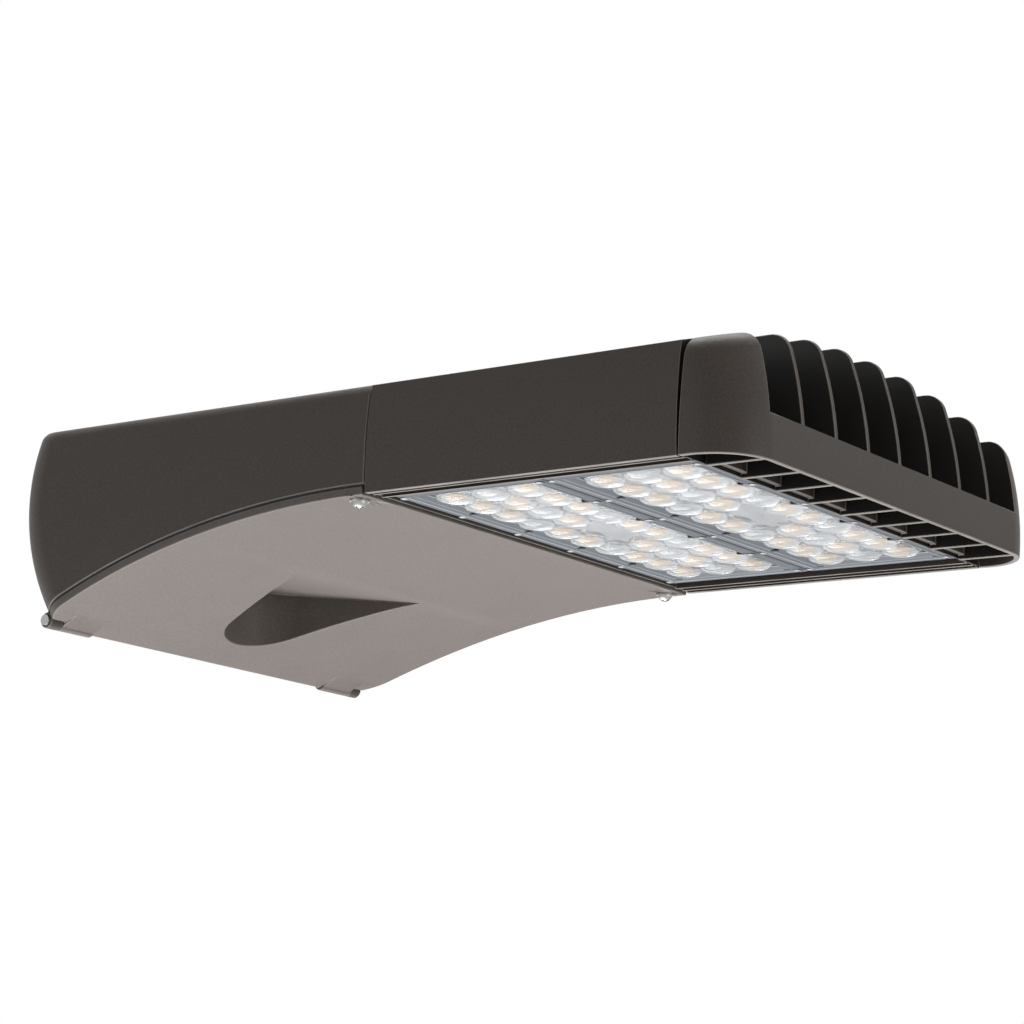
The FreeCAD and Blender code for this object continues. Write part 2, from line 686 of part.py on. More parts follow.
def door_gasket():
    """Seal under the housing's front and side walls, clear of the shut door by a little."""
    outer = rear_skin(1.0, door_edge + washer_gap, seam - 0.6)
    inner = rear_skin(wall - 0.4, door_edge, seam - bulkhead + 0.4)
    ring = outer.cut(inner).common(door_arc(door_edge + parting_gap))
    ring = ring.common(box((hinge_x, seam), (-body_width, body_width), (rim - foot_length, crown)))
    ring = ring.cut(door_heel_room())
    keep_clear = rod(knuckle_radius + knuckle_relief, (hinge_x, hinge_inner - knuckle_side_gap, hinge_z),
                     LEFT, knuckle_length + lug_length + 3 * knuckle_side_gap)
    for room in both_sides(keep_clear):
        ring = ring.cut(room)
    return ring


def hinge_pin():
    """Pin pressed into the housing's lug, its head outboard, its shank inside the door's knuckle."""
    start = hinge_inner + pin_end_gap
    outer = lug_start + lug_length
    shank = rod(hinge_pin_radius, (hinge_x, start, hinge_z), LEFT, outer - start)
    head = rod(pin_head_radius, (hinge_x, outer, hinge_z), LEFT, pin_head_height)
    return shank.fuse(head).removeSplitter()


def door_screw(side):
    """Captive screw with its washer: domed cross-recessed head below the door."""
    seat = rim - door_drop - washer_gap
    under = seat - washer_thickness
    length = under + door_screw_head_height
    top = rim + door_edge - door_drop + washer_gap + ring_thickness + door_screw_reach
    screw = pan_screw((door_screw_x, side, under), UP, door_screw_radius, top - under,
                      door_screw_head, door_screw_head_height)
    washer = rod(washer_radius, (door_screw_x, side, under), UP, washer_thickness)
    screw = screw.fuse(washer)
    low = under - door_screw_head_height
    for dx, dy in ((door_screw_head * 0.6, door_screw_cross / 2), (door_screw_cross / 2, door_screw_head * 0.6)):
        screw = screw.cut(box((door_screw_x - dx, door_screw_x + dx), (side - dy, side + dy),
                              (low - 1, low + door_screw_cross_depth)))
    return screw.removeSplitter()


def retaining_ring(side):
    low = rim + door_edge - door_drop + washer_gap
    ring = rod(ring_radius, (door_screw_x, side, low), UP, ring_thickness)
    return ring.cut(rod(door_screw_radius, (door_screw_x, side, low - 1), UP, ring_thickness + 2))


# ================================================================ lens modules
def lens_places(centre, lit_only=False):
    """Centres of the domes of one module, or only of those with an emitter above them."""
    for row in range(lens_rows):
        x = centre + (1 - row) * lens_pitch
        for column in range(lens_columns):
            y = (column - (lens_columns - 1) / 2) * lens_pitch
            if row == 1 and column in blank_columns:
                continue
            if lit_only and column not in lit_columns[row]:
                continue
            yield x, y


def frame_screw_places():
    for centre in module_centres.values():
        for side in (-1, 1):
            x = centre + side * (module_width / 2 - frame_screw_inset)
            for i in range(frame_screw_count):
                yield x, (i - (frame_screw_count - 1) / 2) * frame_screw_spacing


def module_rect(centre, inset):
    half_x = module_width / 2 - inset
    half_y = module_length / 2 - inset
    return (centre - half_x, centre + half_x), (-half_y, half_y)


def optic_plate(centre):
    """Moulded lens plate: flat sheet with a spherical dome under each lens place."""
    ball = (dome_radius ** 2 + dome_height ** 2) / (2 * dome_height)
    x, y = module_rect(centre, optic_inset)
    sheet = rounded_plate(x, y, (optic_low, optic_low + optic_thickness), frame_sheet)
    room = box(x, y, (optic_low - dome_height - 1, optic_low + optic_thickness / 2))
    domes = []
    for place in lens_places(centre):
        sphere = Part.makeSphere(ball, V(place[0], place[1], optic_low + ball - dome_height))
        cell = box((place[0] - lens_pitch / 2, place[0] + lens_pitch / 2),
                   (place[1] - lens_pitch / 2, place[1] + lens_pitch / 2),
                   (optic_low - dome_height - 1, optic_low + optic_thickness / 2))
        domes.append(sphere.common(cell))
    return sheet.multiFuse([d.common(room) for d in domes]).removeSplitter()


def optic_frame(centre):
    """Moulded frame: flat flange for the screws and a sloping inner face that holds the lens plate."""
    low = rim + frame_low
    x0, y0 = module_rect(centre, 0.0)
    x1, y1 = module_rect(centre, frame_flange)
    x2, y2 = module_rect(centre, frame_flange + frame_slope)
    top = optic_low - 0.1
    flange = box(x0, y0, (low, low + frame_sheet))
    flange = flange.cut(box(x1, y1, (low - 1, low + frame_sheet + 1)))
    outer = slanted_ring(x1, y1, low, x2, y2, top, -frame_sheet)
    inner = slanted_ring(x1, y1, low, x2, y2, top, 0.0)
    slope = outer.cut(inner)
    skirt = box(x0, y0, (low, board_low)).cut(
        box((x0[0] + frame_sheet, x0[1] - frame_sheet), (y0[0] + frame_sheet, y0[1] - frame_sheet),
            (low - 1, board_low + 1)))
    body = fused([flange, slope, skirt])
    for x, y in frame_screw_places():
        if abs(x - centre) < module_width / 2:
            body = body.fuse(rod(frame_post_radius, (x, y, low), UP, board_low - low))
            body = body.cut(rod(frame_screw_radius + thread_play, (x, y, low - 1), UP,
                                board_low - low + 2))
    return body.removeSplitter()


def slanted_ring(x_low, y_low, z_low, x_high, y_high, z_high, shift):
    """Four-sided frustum between two rectangles, its sides moved outwards by -shift."""
    def rect(x, y, z):
        return Part.makePolygon([V(x[0] + shift, y[0] + shift, z), V(x[1] - shift, y[0] + shift, z),
                                 V(x[1] - shift, y[1] - shift, z), V(x[0] + shift, y[1] - shift, z),
                                 V(x[0] + shift, y[0] + shift, z)])
    return Part.makeLoft([rect(x_low, y_low, z_low), rect(x_high, y_high, z_high)], True, True)


def led_board(centre):
    x, y = module_rect(centre, board_margin)
    board = box(x, y, (board_low, base_low))
    for px, py in frame_screw_places():
        board = board.cut(rod(frame_post_radius, (px, py, board_low - 1), UP, board_thickness + 2))
    return board


def leds(centre):
    """Emitter packages on the underside of the board."""
    half = led_side / 2
    return Part.makeCompound([
        box((x - half, x + half), (y - half, y + half), (board_low - led_height, board_low))
        for x, y in lens_places(centre, True)])


def board_sensors(centre):
    """Two small round sensors in the middle of the board, under the blank area of the plate."""
    return Part.makeCompound([
        rod(sensor_radius, (centre, y, board_low - led_height), UP, led_height)
        for y in (-sensor_spread / 2, sensor_spread / 2)])


def optic_gasket(centre):
    x, y = module_rect(centre, optic_inset)
    outer = box(x, y, (rim + optic_top, board_low))
    return outer.cut(box((x[0] + gasket_width, x[1] - gasket_width),
                         (y[0] + gasket_width, y[1] - gasket_width), (rim, base_low)))


def frame_screws():
    low = rim + frame_low
    return Part.makeCompound([
        pan_screw((x, y, low), UP, frame_screw_radius, base_low + frame_screw_bite - 1 - low,
                  frame_screw_head, frame_screw_head_height) for x, y in frame_screw_places()])


# ================================================================ electrical gear
def driver():
    low = gear_z - driver_height
    can = rounded_plate((driver_low_x, driver_high_x),
                        (driver_side - driver_width / 2, driver_side + driver_width / 2),
                        (low, gear_z), 4.0)
    tabs = box((driver_low_x - driver_tab, driver_high_x + driver_tab),
               (driver_side - driver_width / 2 + 4, driver_side + driver_width / 2 - 4),
               (gear_z - driver_tab_thickness, gear_z))
    body = can.fuse(tabs).removeSplitter()
    for x, y in driver_holes:
        body = body.cut(rod(gear_screw_radius + thread_play, (x, y, gear_z - driver_height), UP,
                            driver_height + 1))
    return body


def surge_protector():
    low = gear_z - surge_height
    can = rounded_plate((surge_x - surge_length / 2, surge_x + surge_length / 2),
                        (-surge_side - surge_width / 2, -surge_side + surge_width / 2),
                        (low, gear_z), surge_corner)
    tab = box((surge_x - surge_length / 2 - surge_tab, surge_x + surge_length / 2 + surge_tab),
              (-surge_side - surge_tab, -surge_side + surge_tab),
              (gear_z - surge_tab_thickness, gear_z))
    body = can.fuse(tab).removeSplitter()
    for x, y in surge_holes:
        body = body.cut(rod(gear_screw_radius + thread_play, (x, y, gear_z - surge_height), UP,
                            surge_height + 1))
    return body


def block_entries():
    """Wire entries of the terminal block on the side that faces the driver."""
    return [(block_x + (i - (block_poles - 1) / 2) * block_pitch,
             -block_side + block_width / 2, gear_z - block_height / 2) for i in range(block_poles)]


def terminal_block():
    low = gear_z - block_height
    body = box((block_x - block_length / 2, block_x + block_length / 2),
               (-block_side - block_width / 2, -block_side + block_width / 2), (low, gear_z))
    foot = box((block_x - block_length / 2 - block_foot, block_x + block_length / 2 + block_foot),
               (-block_side - block_width / 4, -block_side + block_width / 4),
               (gear_z - block_foot_thickness, gear_z))
    body = body.fuse(foot).removeSplitter()
    for x, y, z in block_entries():
        body = body.cut(rod(block_entry_radius, (x, y - block_entry_depth, z), LEFT, block_entry_depth + 1))
        body = body.cut(rod(block_entry_radius, (x, -block_side - block_width / 2 - 1, z), LEFT,
                            block_entry_depth + 1))
        body = body.cut(rod(block_clamp_radius, (x, -block_side, low - 1), UP, block_clamp_depth + 1))
    for x, y in block_holes:
        body = body.cut(rod(gear_screw_radius + thread_play, (x, y, low), UP, block_height + 1))
    return body


def clamp_screws():
    """Wire clamp screws of the terminal block, sunk in its lower face."""
    low = gear_z - block_height
    screws = []
    for x, _, _ in block_entries():
        screw = rod(block_clamp_radius - 2 * thread_play, (x, -block_side, low + block_clamp_depth / 2),
                    UP, block_clamp_depth / 2)
        slot = box((x - block_clamp_radius, x + block_clamp_radius), (-block_side - 0.4, -block_side + 0.4),
                   (low, low + block_clamp_depth * 0.75))
        screws.append(screw.cut(slot))
    return Part.makeCompound(screws)


def gear_screws():
    groups = {"driver": (driver_holes, driver_tab_thickness),
              "surge": (surge_holes, surge_tab_thickness),
              "block": (block_holes, block_foot_thickness)}
    screws = []
    for places, tab in groups.values():
        for x, y in places:
            screws.append(pan_screw((x, y, gear_z - tab), UP, gear_screw_radius,
                                    tab + gear_screw_bite - 1, gear_screw_head, gear_screw_head_height))
    return Part.makeCompound(screws)


def ground_screw():
    x, y = ground_hole
    return pan_screw((x, y, gear_z - 2 * lead_radius), UP, gear_screw_radius,
                     2 * lead_radius + gear_screw_bite - 1, gear_screw_head, gear_screw_head_height)


def supply_leads():
    """Line and neutral, from the terminal block to the driver's near side."""
    face = driver_side - driver_width / 2
    low = gear_z - driver_height + lead_floor
    leads = []
    for x, y, z in block_entries()[:2]:
        leads.append(lead([(x, y - block_entry_depth, z), (x, y + lead_run, z),
                           (x + lead_step, face - lead_run, low), (x + lead_step, face, low)],
                          lead_radius, lead_bend))
    return Part.makeCompound(leads)


def ground_lead():
    """From the terminal block to the ground screw, its end clamped under the head."""
    x, y, z = block_entries()[2]
    end_x, end_y = ground_hole
    high = gear_z - lead_radius
    return lead([(x, y - block_entry_depth, z), (x, y + lead_run, z), (x + lead_run, end_y, high),
                 (end_x - gear_screw_radius, end_y, high)], lead_radius, lead_bend)


def surge_leads():
    """From the surge protector's rear end to the other side of the terminal block."""
    entry_y = -block_side - block_width / 2
    start_x = surge_x - surge_length / 2
    level = gear_z - surge_height + lead_floor
    leads = []
    for i, (x, _, z) in enumerate(block_entries()[:2]):
        start_y = -surge_side + i * lead_step
        leads.append(lead([(start_x, start_y, level), (x, start_y, level),
                           (x, entry_y - lead_step, z), (x, entry_y + block_entry_depth, z)],
                          lead_radius, lead_bend / 2))
    return Part.makeCompound(leads)


def led_leads():
    """Low-voltage leads from the driver's front end through the bulkhead to both boards."""
    level = gear_z - driver_height + lead_floor
    rear_end = module_centres["rear"]
    front_end = module_centres["front"] - module_width / 2 + wire_groove_end / 2
    leads = []
    for side, end in ((-1, rear_end), (1, front_end)):
        y = side * led_lead_spread / 2
        from_y = driver_side - driver_width / 2 + lead_run + side * lead_step / 2
        turn = driver_high_x + lead_run - side * led_lead_spread
        leads.append(lead([(driver_high_x, from_y, level), (turn, from_y, level), (turn, y, lead_z),
                           (end, y, lead_z), (end, y, base_low)], led_lead_radius, led_lead_bend))
    return Part.makeCompound(leads)


def grommet():
    """Rubber bush in the bulkhead with a hole for each low-voltage lead."""
    start = seam - bulkhead - grommet_flange_thickness
    body = rod(grommet_radius, (start, 0, lead_z), AHEAD,
               grommet_flange_thickness + bulkhead + joint_gasket + end_wall)
    body = body.fuse(rod(grommet_flange, (start, 0, lead_z), AHEAD, grommet_flange_thickness))
    for side in (-1, 1):
        body = body.cut(rod(led_lead_radius, (start - 1, side * led_lead_spread / 2, lead_z), AHEAD,
                            bulkhead + end_wall + 10))
    return body.removeSplitter()


# ================================================================ files
def save(name, shape):
    shape.exportStep("parts/" + name + ".step")
    print(name, len(shape.Solids), round(shape.Volume / 1000, 1), shape.isValid())


def main():
    os.makedirs("parts", exist_ok=True)
    to_sink, to_bezel = casting_screws()
    save("driver_housing", driver_housing())
    save("heat_sink", heat_sink())
    save("front_bezel", front_bezel())
    save("joint_gasket", joint_gasket_sheet())
    save("housing_screws", Part.makeCompound(to_sink))
    save("bezel_screws", Part.makeCompound(to_bezel))
    save("driver_door", driver_door())
    save("door_gasket", door_gasket())
    save("hinge_pins", Part.makeCompound(both_sides(hinge_pin())))
    for name, side in door_screw_places.items():
        save(name + "_door_screw", door_screw(side))
        save(name + "_retaining_ring", retaining_ring(side))
    for name, centre in module_centres.items():
        save(name + "_led_board", led_board(centre))
        save(name + "_leds", leds(centre))
        save(name + "_optic_gasket", optic_gasket(centre))
        save(name + "_optic_plate", optic_plate(centre))
        save(name + "_optic_frame", optic_frame(centre))
    save("board_sensors", board_sensors(module_centres["front"]))
    save("frame_screws", frame_screws())
    save("led_driver", driver())
    save("surge_protector", surge_protector())
    save("terminal_block", terminal_block())
    save("clamp_screws", clamp_screws())
    save("gear_screws", gear_screws())
    save("ground_screw", ground_screw())
    save("supply_leads", supply_leads())
    save("surge_leads", surge_leads())
    save("ground_lead", ground_lead())
    save("led_leads", led_leads())
    save("lead_grommet", grommet())
    save("arm_gasket", arm_gasket())


main()
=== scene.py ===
import math

import bmesh
import bpy
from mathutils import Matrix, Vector
from mathutils.bvhtree import BVHTree


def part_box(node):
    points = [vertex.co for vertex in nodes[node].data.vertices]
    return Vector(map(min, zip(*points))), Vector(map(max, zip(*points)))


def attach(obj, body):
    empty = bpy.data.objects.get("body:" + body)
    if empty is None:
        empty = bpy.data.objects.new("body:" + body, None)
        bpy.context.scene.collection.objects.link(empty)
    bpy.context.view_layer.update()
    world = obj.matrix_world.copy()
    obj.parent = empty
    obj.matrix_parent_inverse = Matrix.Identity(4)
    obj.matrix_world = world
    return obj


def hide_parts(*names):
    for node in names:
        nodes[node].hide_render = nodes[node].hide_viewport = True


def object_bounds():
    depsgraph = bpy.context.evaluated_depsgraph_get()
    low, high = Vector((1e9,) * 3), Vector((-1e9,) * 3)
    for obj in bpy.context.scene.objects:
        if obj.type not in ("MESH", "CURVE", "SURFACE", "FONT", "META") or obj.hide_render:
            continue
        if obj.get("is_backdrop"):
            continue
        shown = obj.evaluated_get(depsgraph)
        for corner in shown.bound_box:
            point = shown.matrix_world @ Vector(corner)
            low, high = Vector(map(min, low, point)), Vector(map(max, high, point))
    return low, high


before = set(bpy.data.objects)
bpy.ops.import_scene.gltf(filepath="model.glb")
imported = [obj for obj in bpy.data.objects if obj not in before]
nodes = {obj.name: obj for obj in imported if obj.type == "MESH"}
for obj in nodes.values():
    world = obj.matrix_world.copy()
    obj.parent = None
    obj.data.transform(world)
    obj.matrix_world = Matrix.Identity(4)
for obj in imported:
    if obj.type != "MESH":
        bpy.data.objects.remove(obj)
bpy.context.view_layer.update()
MM = 0.001

# ------------------------------------------------------------------ driver housing
# Die-cast aluminium box that hangs on the pole arm and covers the electrical gear. Its edges are
# slightly round, and it has a fine-textured dark bronze powder coat, which is drawn lighter along them,
# partly as worn coat and partly as a painted highlight.
BRONZE = (0.070, 0.058, 0.050, 1)
# The next two colours are the rounded edges' colour, partly worn coat and partly painted highlight, and the
# painted shade drawn between fins.
BRONZE_WORN_HIGHLIGHT_EDGE = (0.40, 0.37, 0.34, 1)
BRONZE_GAP_SHADE = (0.014, 0.012, 0.011, 1)
COAT_GRAIN = 0.45 * MM
CAST_EDGE = 0.8 * MM
COAT_SHEEN = 0.22               # specular level of the matt coat
SHARP = math.radians(32)        # edges bent by more than this are rounded
CREASE = math.radians(40)       # and those bent by more than this stay creased in the shading
FLAT = math.radians(0.4)        # faces closer to level than this are joined
MERGE = 0.004 * MM
THROWN = 0.75                   # share of the edge beyond which a rounded corner is off the casting
BUMP_DEPTH = 0.1 * MM
DARKER = 0.8                    # the darker of two tones, as a share of the lighter

# Sockets that Blender's colour Mix node knows by number: two inputs and the result.
MIX_FIRST, MIX_SECOND, MIX_RESULT = 6, 7, 2
SIDES = ("rear", "front")


def put(tree, kind, inputs=None, **settings):
    """Adds a node; inputs pairs a socket's name or number with a value or another node's socket."""
    node = tree.nodes.new(kind)
    for name, value in settings.items():
        setattr(node, name, value)
    for key, value in (inputs or {}).items():
        if isinstance(value, bpy.types.NodeSocket):
            tree.links.new(value, node.inputs[key])
        else:
            node.inputs[key].default_value = value
    return node


def shader_group(name, inputs, outputs):
    """Starts a shader node group with named sockets; returns it with its two end nodes."""
    group = bpy.data.node_groups.new(name, "ShaderNodeTree")
    for title, kind, value in inputs:
        socket = group.interface.new_socket(name=title, in_out="INPUT", socket_type=kind)
        socket.default_value = value
    for title, kind in outputs:
        group.interface.new_socket(name=title, in_out="OUTPUT", socket_type=kind)
    return group, group.nodes.new("NodeGroupInput"), group.nodes.new("NodeGroupOutput")


COLOUR, NUMBER = "NodeSocketColor", "NodeSocketFloat"

# The coat's own grain: fine orange peel, faint cloudiness in colour and gloss, and a light band where
# the mesh's edge_band attribute marks a rounded edge, partly worn coat and partly painted highlight. In the
# gaps between fins, which the mesh's deep attribute marks, the coat is drawn darker as painted shade.
coat_group, coat_in, coat_out = shader_group(
    "Textured powder coat",
    [("Paint", COLOUR, BRONZE), ("Worn and highlight edge paint", COLOUR, BRONZE_WORN_HIGHLIGHT_EDGE), ("Edge amount", NUMBER, 0.5),
     ("Painted gap shade", COLOUR, BRONZE_GAP_SHADE), ("Grain size", NUMBER, COAT_GRAIN), ("Roughness", NUMBER, 0.5)],
    [("Colour", COLOUR), ("Roughness", NUMBER), ("Height", NUMBER)])
coat_at = put(coat_group, "ShaderNodeTexCoord").outputs["Object"]
coat_scale = put(coat_group, "ShaderNodeMath",
                 {0: 1.0, 1: coat_in.outputs["Grain size"]}, operation="DIVIDE")
coat_grain = put(coat_group, "ShaderNodeTexNoise",
                 {"Vector": coat_at, "Scale": coat_scale.outputs[0], "Detail": 2.0, "Roughness": 0.6})
coat_cloud = put(coat_group, "ShaderNodeTexNoise", {"Vector": coat_at, "Scale": 28.0, "Detail": 4.0})
coat_speck = put(coat_group, "ShaderNodeTexNoise", {"Vector": coat_at, "Scale": 900.0, "Detail": 1.0})
coat_shade = put(coat_group, "ShaderNodeMapRange",
                 {"Value": coat_cloud.outputs["Fac"], "From Min": 0.3, "From Max": 0.7,
                  "To Min": 0.93, "To Max": 1.07})
coat_fleck = put(coat_group, "ShaderNodeMapRange",
                 {"Value": coat_speck.outputs["Fac"], "From Min": 0.3, "From Max": 0.75,
                  "To Min": 0.86, "To Max": 1.2})
coat_tone = put(coat_group, "ShaderNodeMath",
                {0: coat_shade.outputs["Result"], 1: coat_fleck.outputs["Result"]}, operation="MULTIPLY")
coat_paint = put(coat_group, "ShaderNodeVectorMath",
                 {0: coat_in.outputs["Paint"], "Scale": coat_tone.outputs[0]}, operation="SCALE")
# The edge band is partly wear, broken up by the cloud noise, and partly painted highlight.
coat_band = put(coat_group, "ShaderNodeAttribute", attribute_name="edge_band")
coat_break = put(coat_group, "ShaderNodeMapRange",
                 {"Value": coat_cloud.outputs["Fac"], "From Min": 0.35, "From Max": 0.6,
                  "To Min": 0.6, "To Max": 1.0})
coat_wear_and_highlight = put(coat_group, "ShaderNodeMath",
                {0: coat_band.outputs["Fac"], 1: coat_break.outputs["Result"]}, operation="MULTIPLY")
coat_share = put(coat_group, "ShaderNodeMath",
                 {0: coat_wear_and_highlight.outputs[0], 1: coat_in.outputs["Edge amount"]}, operation="MULTIPLY")
coat_mix = put(coat_group, "ShaderNodeMix", {"Factor": coat_share.outputs[0]}, data_type="RGBA")
# Faces marked deep take the painted shade colour.
coat_deep = put(coat_group, "ShaderNodeAttribute", attribute_name="deep")
coat_gap = put(coat_group, "ShaderNodeMix", {"Factor": coat_deep.outputs["Fac"]}, data_type="RGBA")
coat_group.links.new(coat_paint.outputs[0], coat_gap.inputs[MIX_FIRST])
coat_group.links.new(coat_in.outputs["Painted gap shade"], coat_gap.inputs[MIX_SECOND])
coat_group.links.new(coat_gap.outputs[MIX_RESULT], coat_mix.inputs[MIX_FIRST])
coat_group.links.new(coat_in.outputs["Worn and highlight edge paint"], coat_mix.inputs[MIX_SECOND])
coat_gloss = put(coat_group, "ShaderNodeMapRange",
                 {"Value": coat_cloud.outputs["Fac"], "From Min": 0.3, "From Max": 0.7,
                  "To Min": -0.04, "To Max": 0.04})
coat_rough = put(coat_group, "ShaderNodeMath",
                 {0: coat_in.outputs["Roughness"], 1: coat_gloss.outputs["Result"]}, operation="ADD")
coat_group.links.new(coat_mix.outputs[MIX_RESULT], coat_out.inputs["Colour"])
coat_group.links.new(coat_rough.outputs[0], coat_out.inputs["Roughness"])
coat_group.links.new(coat_grain.outputs["Fac"], coat_out.inputs["Height"])


def new_material(name):
    """A material with only its output and one Principled BSDF."""
    material = bpy.data.materials.new(name)
    material.use_nodes = True
    tree = material.node_tree
    shader = next(n for n in tree.nodes if n.type == "BSDF_PRINCIPLED")
    return material, tree, shader


def coated(name, paint, edge_paint, edge_amount, roughness, grain=COAT_GRAIN, bump=0.25):
    """Powder-coated metal."""
    material, tree, shader = new_material(name)
    coat = put(tree, "ShaderNodeGroup", node_tree=coat_group)
    for title, value in (("Paint", paint), ("Worn and highlight edge paint", edge_paint), ("Edge amount", edge_amount),
                         ("Grain size", grain), ("Roughness", roughness)):
        coat.inputs[title].default_value = value
    relief = put(tree, "ShaderNodeBump",
                 {"Height": coat.outputs["Height"], "Strength": bump, "Distance": BUMP_DEPTH})
    tree.links.new(coat.outputs["Colour"], shader.inputs["Base Color"])
    tree.links.new(coat.outputs["Roughness"], shader.inputs["Roughness"])
    tree.links.new(relief.outputs["Normal"], shader.inputs["Normal"])
    shader.inputs["Specular IOR Level"].default_value = COAT_SHEEN
    return material


def two_tone(tree, factor, first, second):
    """A colour that runs from the first to the second with the factor."""
    tone = put(tree, "ShaderNodeMix", {"Factor": factor}, data_type="RGBA")
    tone.inputs[MIX_FIRST].default_value = (*first, 1)
    tone.inputs[MIX_SECOND].default_value = (*second, 1)
    return tone.outputs[MIX_RESULT]


def moulded(name, dark, light, roughness, scale=220.0, metallic=0.0):
    """Plastic, rubber, lacquer or cast metal with slight mottling and an uneven sheen."""
    material, tree, shader = new_material(name)
    at = put(tree, "ShaderNodeTexCoord").outputs["Object"]
    mottle = put(tree, "ShaderNodeTexNoise", {"Vector": at, "Scale": scale, "Detail": 4.0})
    tone = two_tone(tree, mottle.outputs["Fac"], dark, light)
    gloss = put(tree, "ShaderNodeMapRange",
                {"Value": mottle.outputs["Fac"], "To Min": roughness - 0.07, "To Max": roughness + 0.07})
    relief = put(tree, "ShaderNodeBump",
                 {"Height": mottle.outputs["Fac"], "Strength": 0.1, "Distance": BUMP_DEPTH})
    tree.links.new(tone, shader.inputs["Base Color"])
    tree.links.new(gloss.outputs["Result"], shader.inputs["Roughness"])
    tree.links.new(relief.outputs["Normal"], shader.inputs["Normal"])
    shader.inputs["Metallic"].default_value = metallic
    return material


def steel(name, tint, roughness):
    """Plated or stainless steel with faint turning marks."""
    material, tree, shader = new_material(name)
    at = put(tree, "ShaderNodeTexCoord").outputs["Object"]
    marks = put(tree, "ShaderNodeTexNoise", {"Vector": at, "Scale": 900.0, "Detail": 3.0})
    gloss = put(tree, "ShaderNodeMapRange",
                {"Value": marks.outputs["Fac"], "To Min": roughness - 0.08, "To Max": roughness + 0.1})
    shade = two_tone(tree, marks.outputs["Fac"], tuple(c * DARKER for c in tint), tint)
    tree.links.new(gloss.outputs["Result"], shader.inputs["Roughness"])
    tree.links.new(shade, shader.inputs["Base Color"])
    shader.inputs["Metallic"].default_value = 1.0
    return material


def finished_copy(node, name, edge, segments=2, in_gap=None, on_rim=None):
    """Copy of a CAD node with merged corners and rounded edges, marked in the edge_band attribute, which the
    coat draws lighter as wear and painted highlight.

    in_gap says whether a face lies deep between fins, which marks it in the deep attribute for painted
    shade, and on_rim whether it is a narrow lower edge, which is marked as an edge is and so gets the
    painted highlight."""
    mesh = nodes[node].data.copy()
    bm = bmesh.new()
    bm.from_mesh(mesh)
    bmesh.ops.remove_doubles(bm, verts=bm.verts, dist=MERGE)
    bmesh.ops.dissolve_limit(bm, angle_limit=FLAT, verts=bm.verts, edges=bm.edges)
    band = bm.faces.layers.float.new("edge_band")
    deep = bm.faces.layers.float.new("deep")
    for face in bm.faces:
        face.smooth = True
        if in_gap and in_gap(face.calc_center_median(), face.normal):
            face[deep] = 1.0
        if on_rim and on_rim(face.calc_center_median(), face.normal):
            face[band] = 1.0
    sharp = [e for e in bm.edges if len(e.link_faces) == 2 and e.calc_face_angle(0.0) > SHARP]
    skin = BVHTree.FromBMesh(bm)
    made = bmesh.ops.bevel(bm, geom=sharp, offset=edge, segments=segments, profile=0.5,
                           affect="EDGES", clamp_overlap=False)
    for face in made["faces"]:
        face.smooth = True
        face[band] = 1.0
        face[deep] = 0.0
    # Corners that the bevel threw off the casting are set back on its skin.
    for vert in bm.verts:
        nearest, _, _, away = skin.find_nearest(vert.co)
        if away > THROWN * edge:
            vert.co = nearest
    bm.to_mesh(mesh)
    bm.free()
    mesh.set_sharp_from_angle(angle=CREASE)
    piece = bpy.data.objects.new(name, mesh)
    bpy.context.scene.collection.objects.link(piece)
    even = piece.modifiers.new("Even shading", "WEIGHTED_NORMAL")
    even.keep_sharp = True
    even.weight = 100
    return piece


def dress(piece, material):
    piece.data.materials.clear()
    piece.data.materials.append(material)
    return piece


bronze_coat = coated("Bronze powder coat", BRONZE, BRONZE_WORN_HIGHLIGHT_EDGE, 0.6, 0.5)

housing = dress(finished_copy("driver_housing", "driver_housing_casting", CAST_EDGE), bronze_coat)
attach(housing, "fixture")
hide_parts("driver_housing")

# ------------------------------------------------------------------ heat sink
# Extruded aluminium with tall fins along its back, cut to length and coated with the same bronze.
FIN_FIELD, FIN_FOOT = 149 * MM, 4 * MM
FIN_EDGE = 0.35 * MM
RIM_LEVEL = -4 * MM             # the narrow lower edges lie below this height
LEVEL, UPRIGHT = 0.95, 0.9      # limits of a face normal's part along an axis


# Faces between the fins are marked for painted shade.
def between_fins(centre, normal):
    return abs(centre.y) < FIN_FIELD and centre.z > FIN_FOOT and normal.z < LEVEL


# The narrow lower edges that face down are drawn pale as a painted highlight.
def lowest(centre, normal):
    return normal.z < -UPRIGHT and centre.z < RIM_LEVEL


sink = dress(finished_copy("heat_sink", "heat_sink_fins", FIN_EDGE, in_gap=between_fins, on_rim=lowest),
             bronze_coat)
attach(sink, "fixture")
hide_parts("heat_sink")

# ------------------------------------------------------------------ front bezel
# Die-cast grille that carries the fins on round the front, open between them above and below.
BAND_BACK, BAR_FIELD = 530 * MM, 143 * MM
BAR_EDGE = 0.6 * MM


# Faces beside the bars and behind the band are marked for painted shade.
def between_bars(centre, normal):
    beside_bar = abs(normal.y) > UPRIGHT
    behind_band = normal.x < -UPRIGHT and centre.x > BAND_BACK
    return abs(centre.y) < BAR_FIELD and (beside_bar or behind_band)


bezel = dress(finished_copy("front_bezel", "front_bezel_casting", BAR_EDGE,
                            in_gap=between_bars, on_rim=lowest), bronze_coat)
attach(bezel, "fixture")
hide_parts("front_bezel")

# ------------------------------------------------------------------ door
# Die-cast door under the gear, with a drop-shaped pull sunk into it, hung on two pins. Its coat is
# drawn lighter than the housing's as painted light, for the stronger light on its underside.
DOOR_BRONZE_PAINTED_LIGHT = (0.138, 0.117, 0.106, 1)
door_lit_coat = coated("Door powder coat with painted light", DOOR_BRONZE_PAINTED_LIGHT, BRONZE_WORN_HIGHLIGHT_EDGE, 0.35, 0.5)
door = dress(finished_copy("driver_door", "gear_door_casting", CAST_EDGE), door_lit_coat)
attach(door, "door")
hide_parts("driver_door")

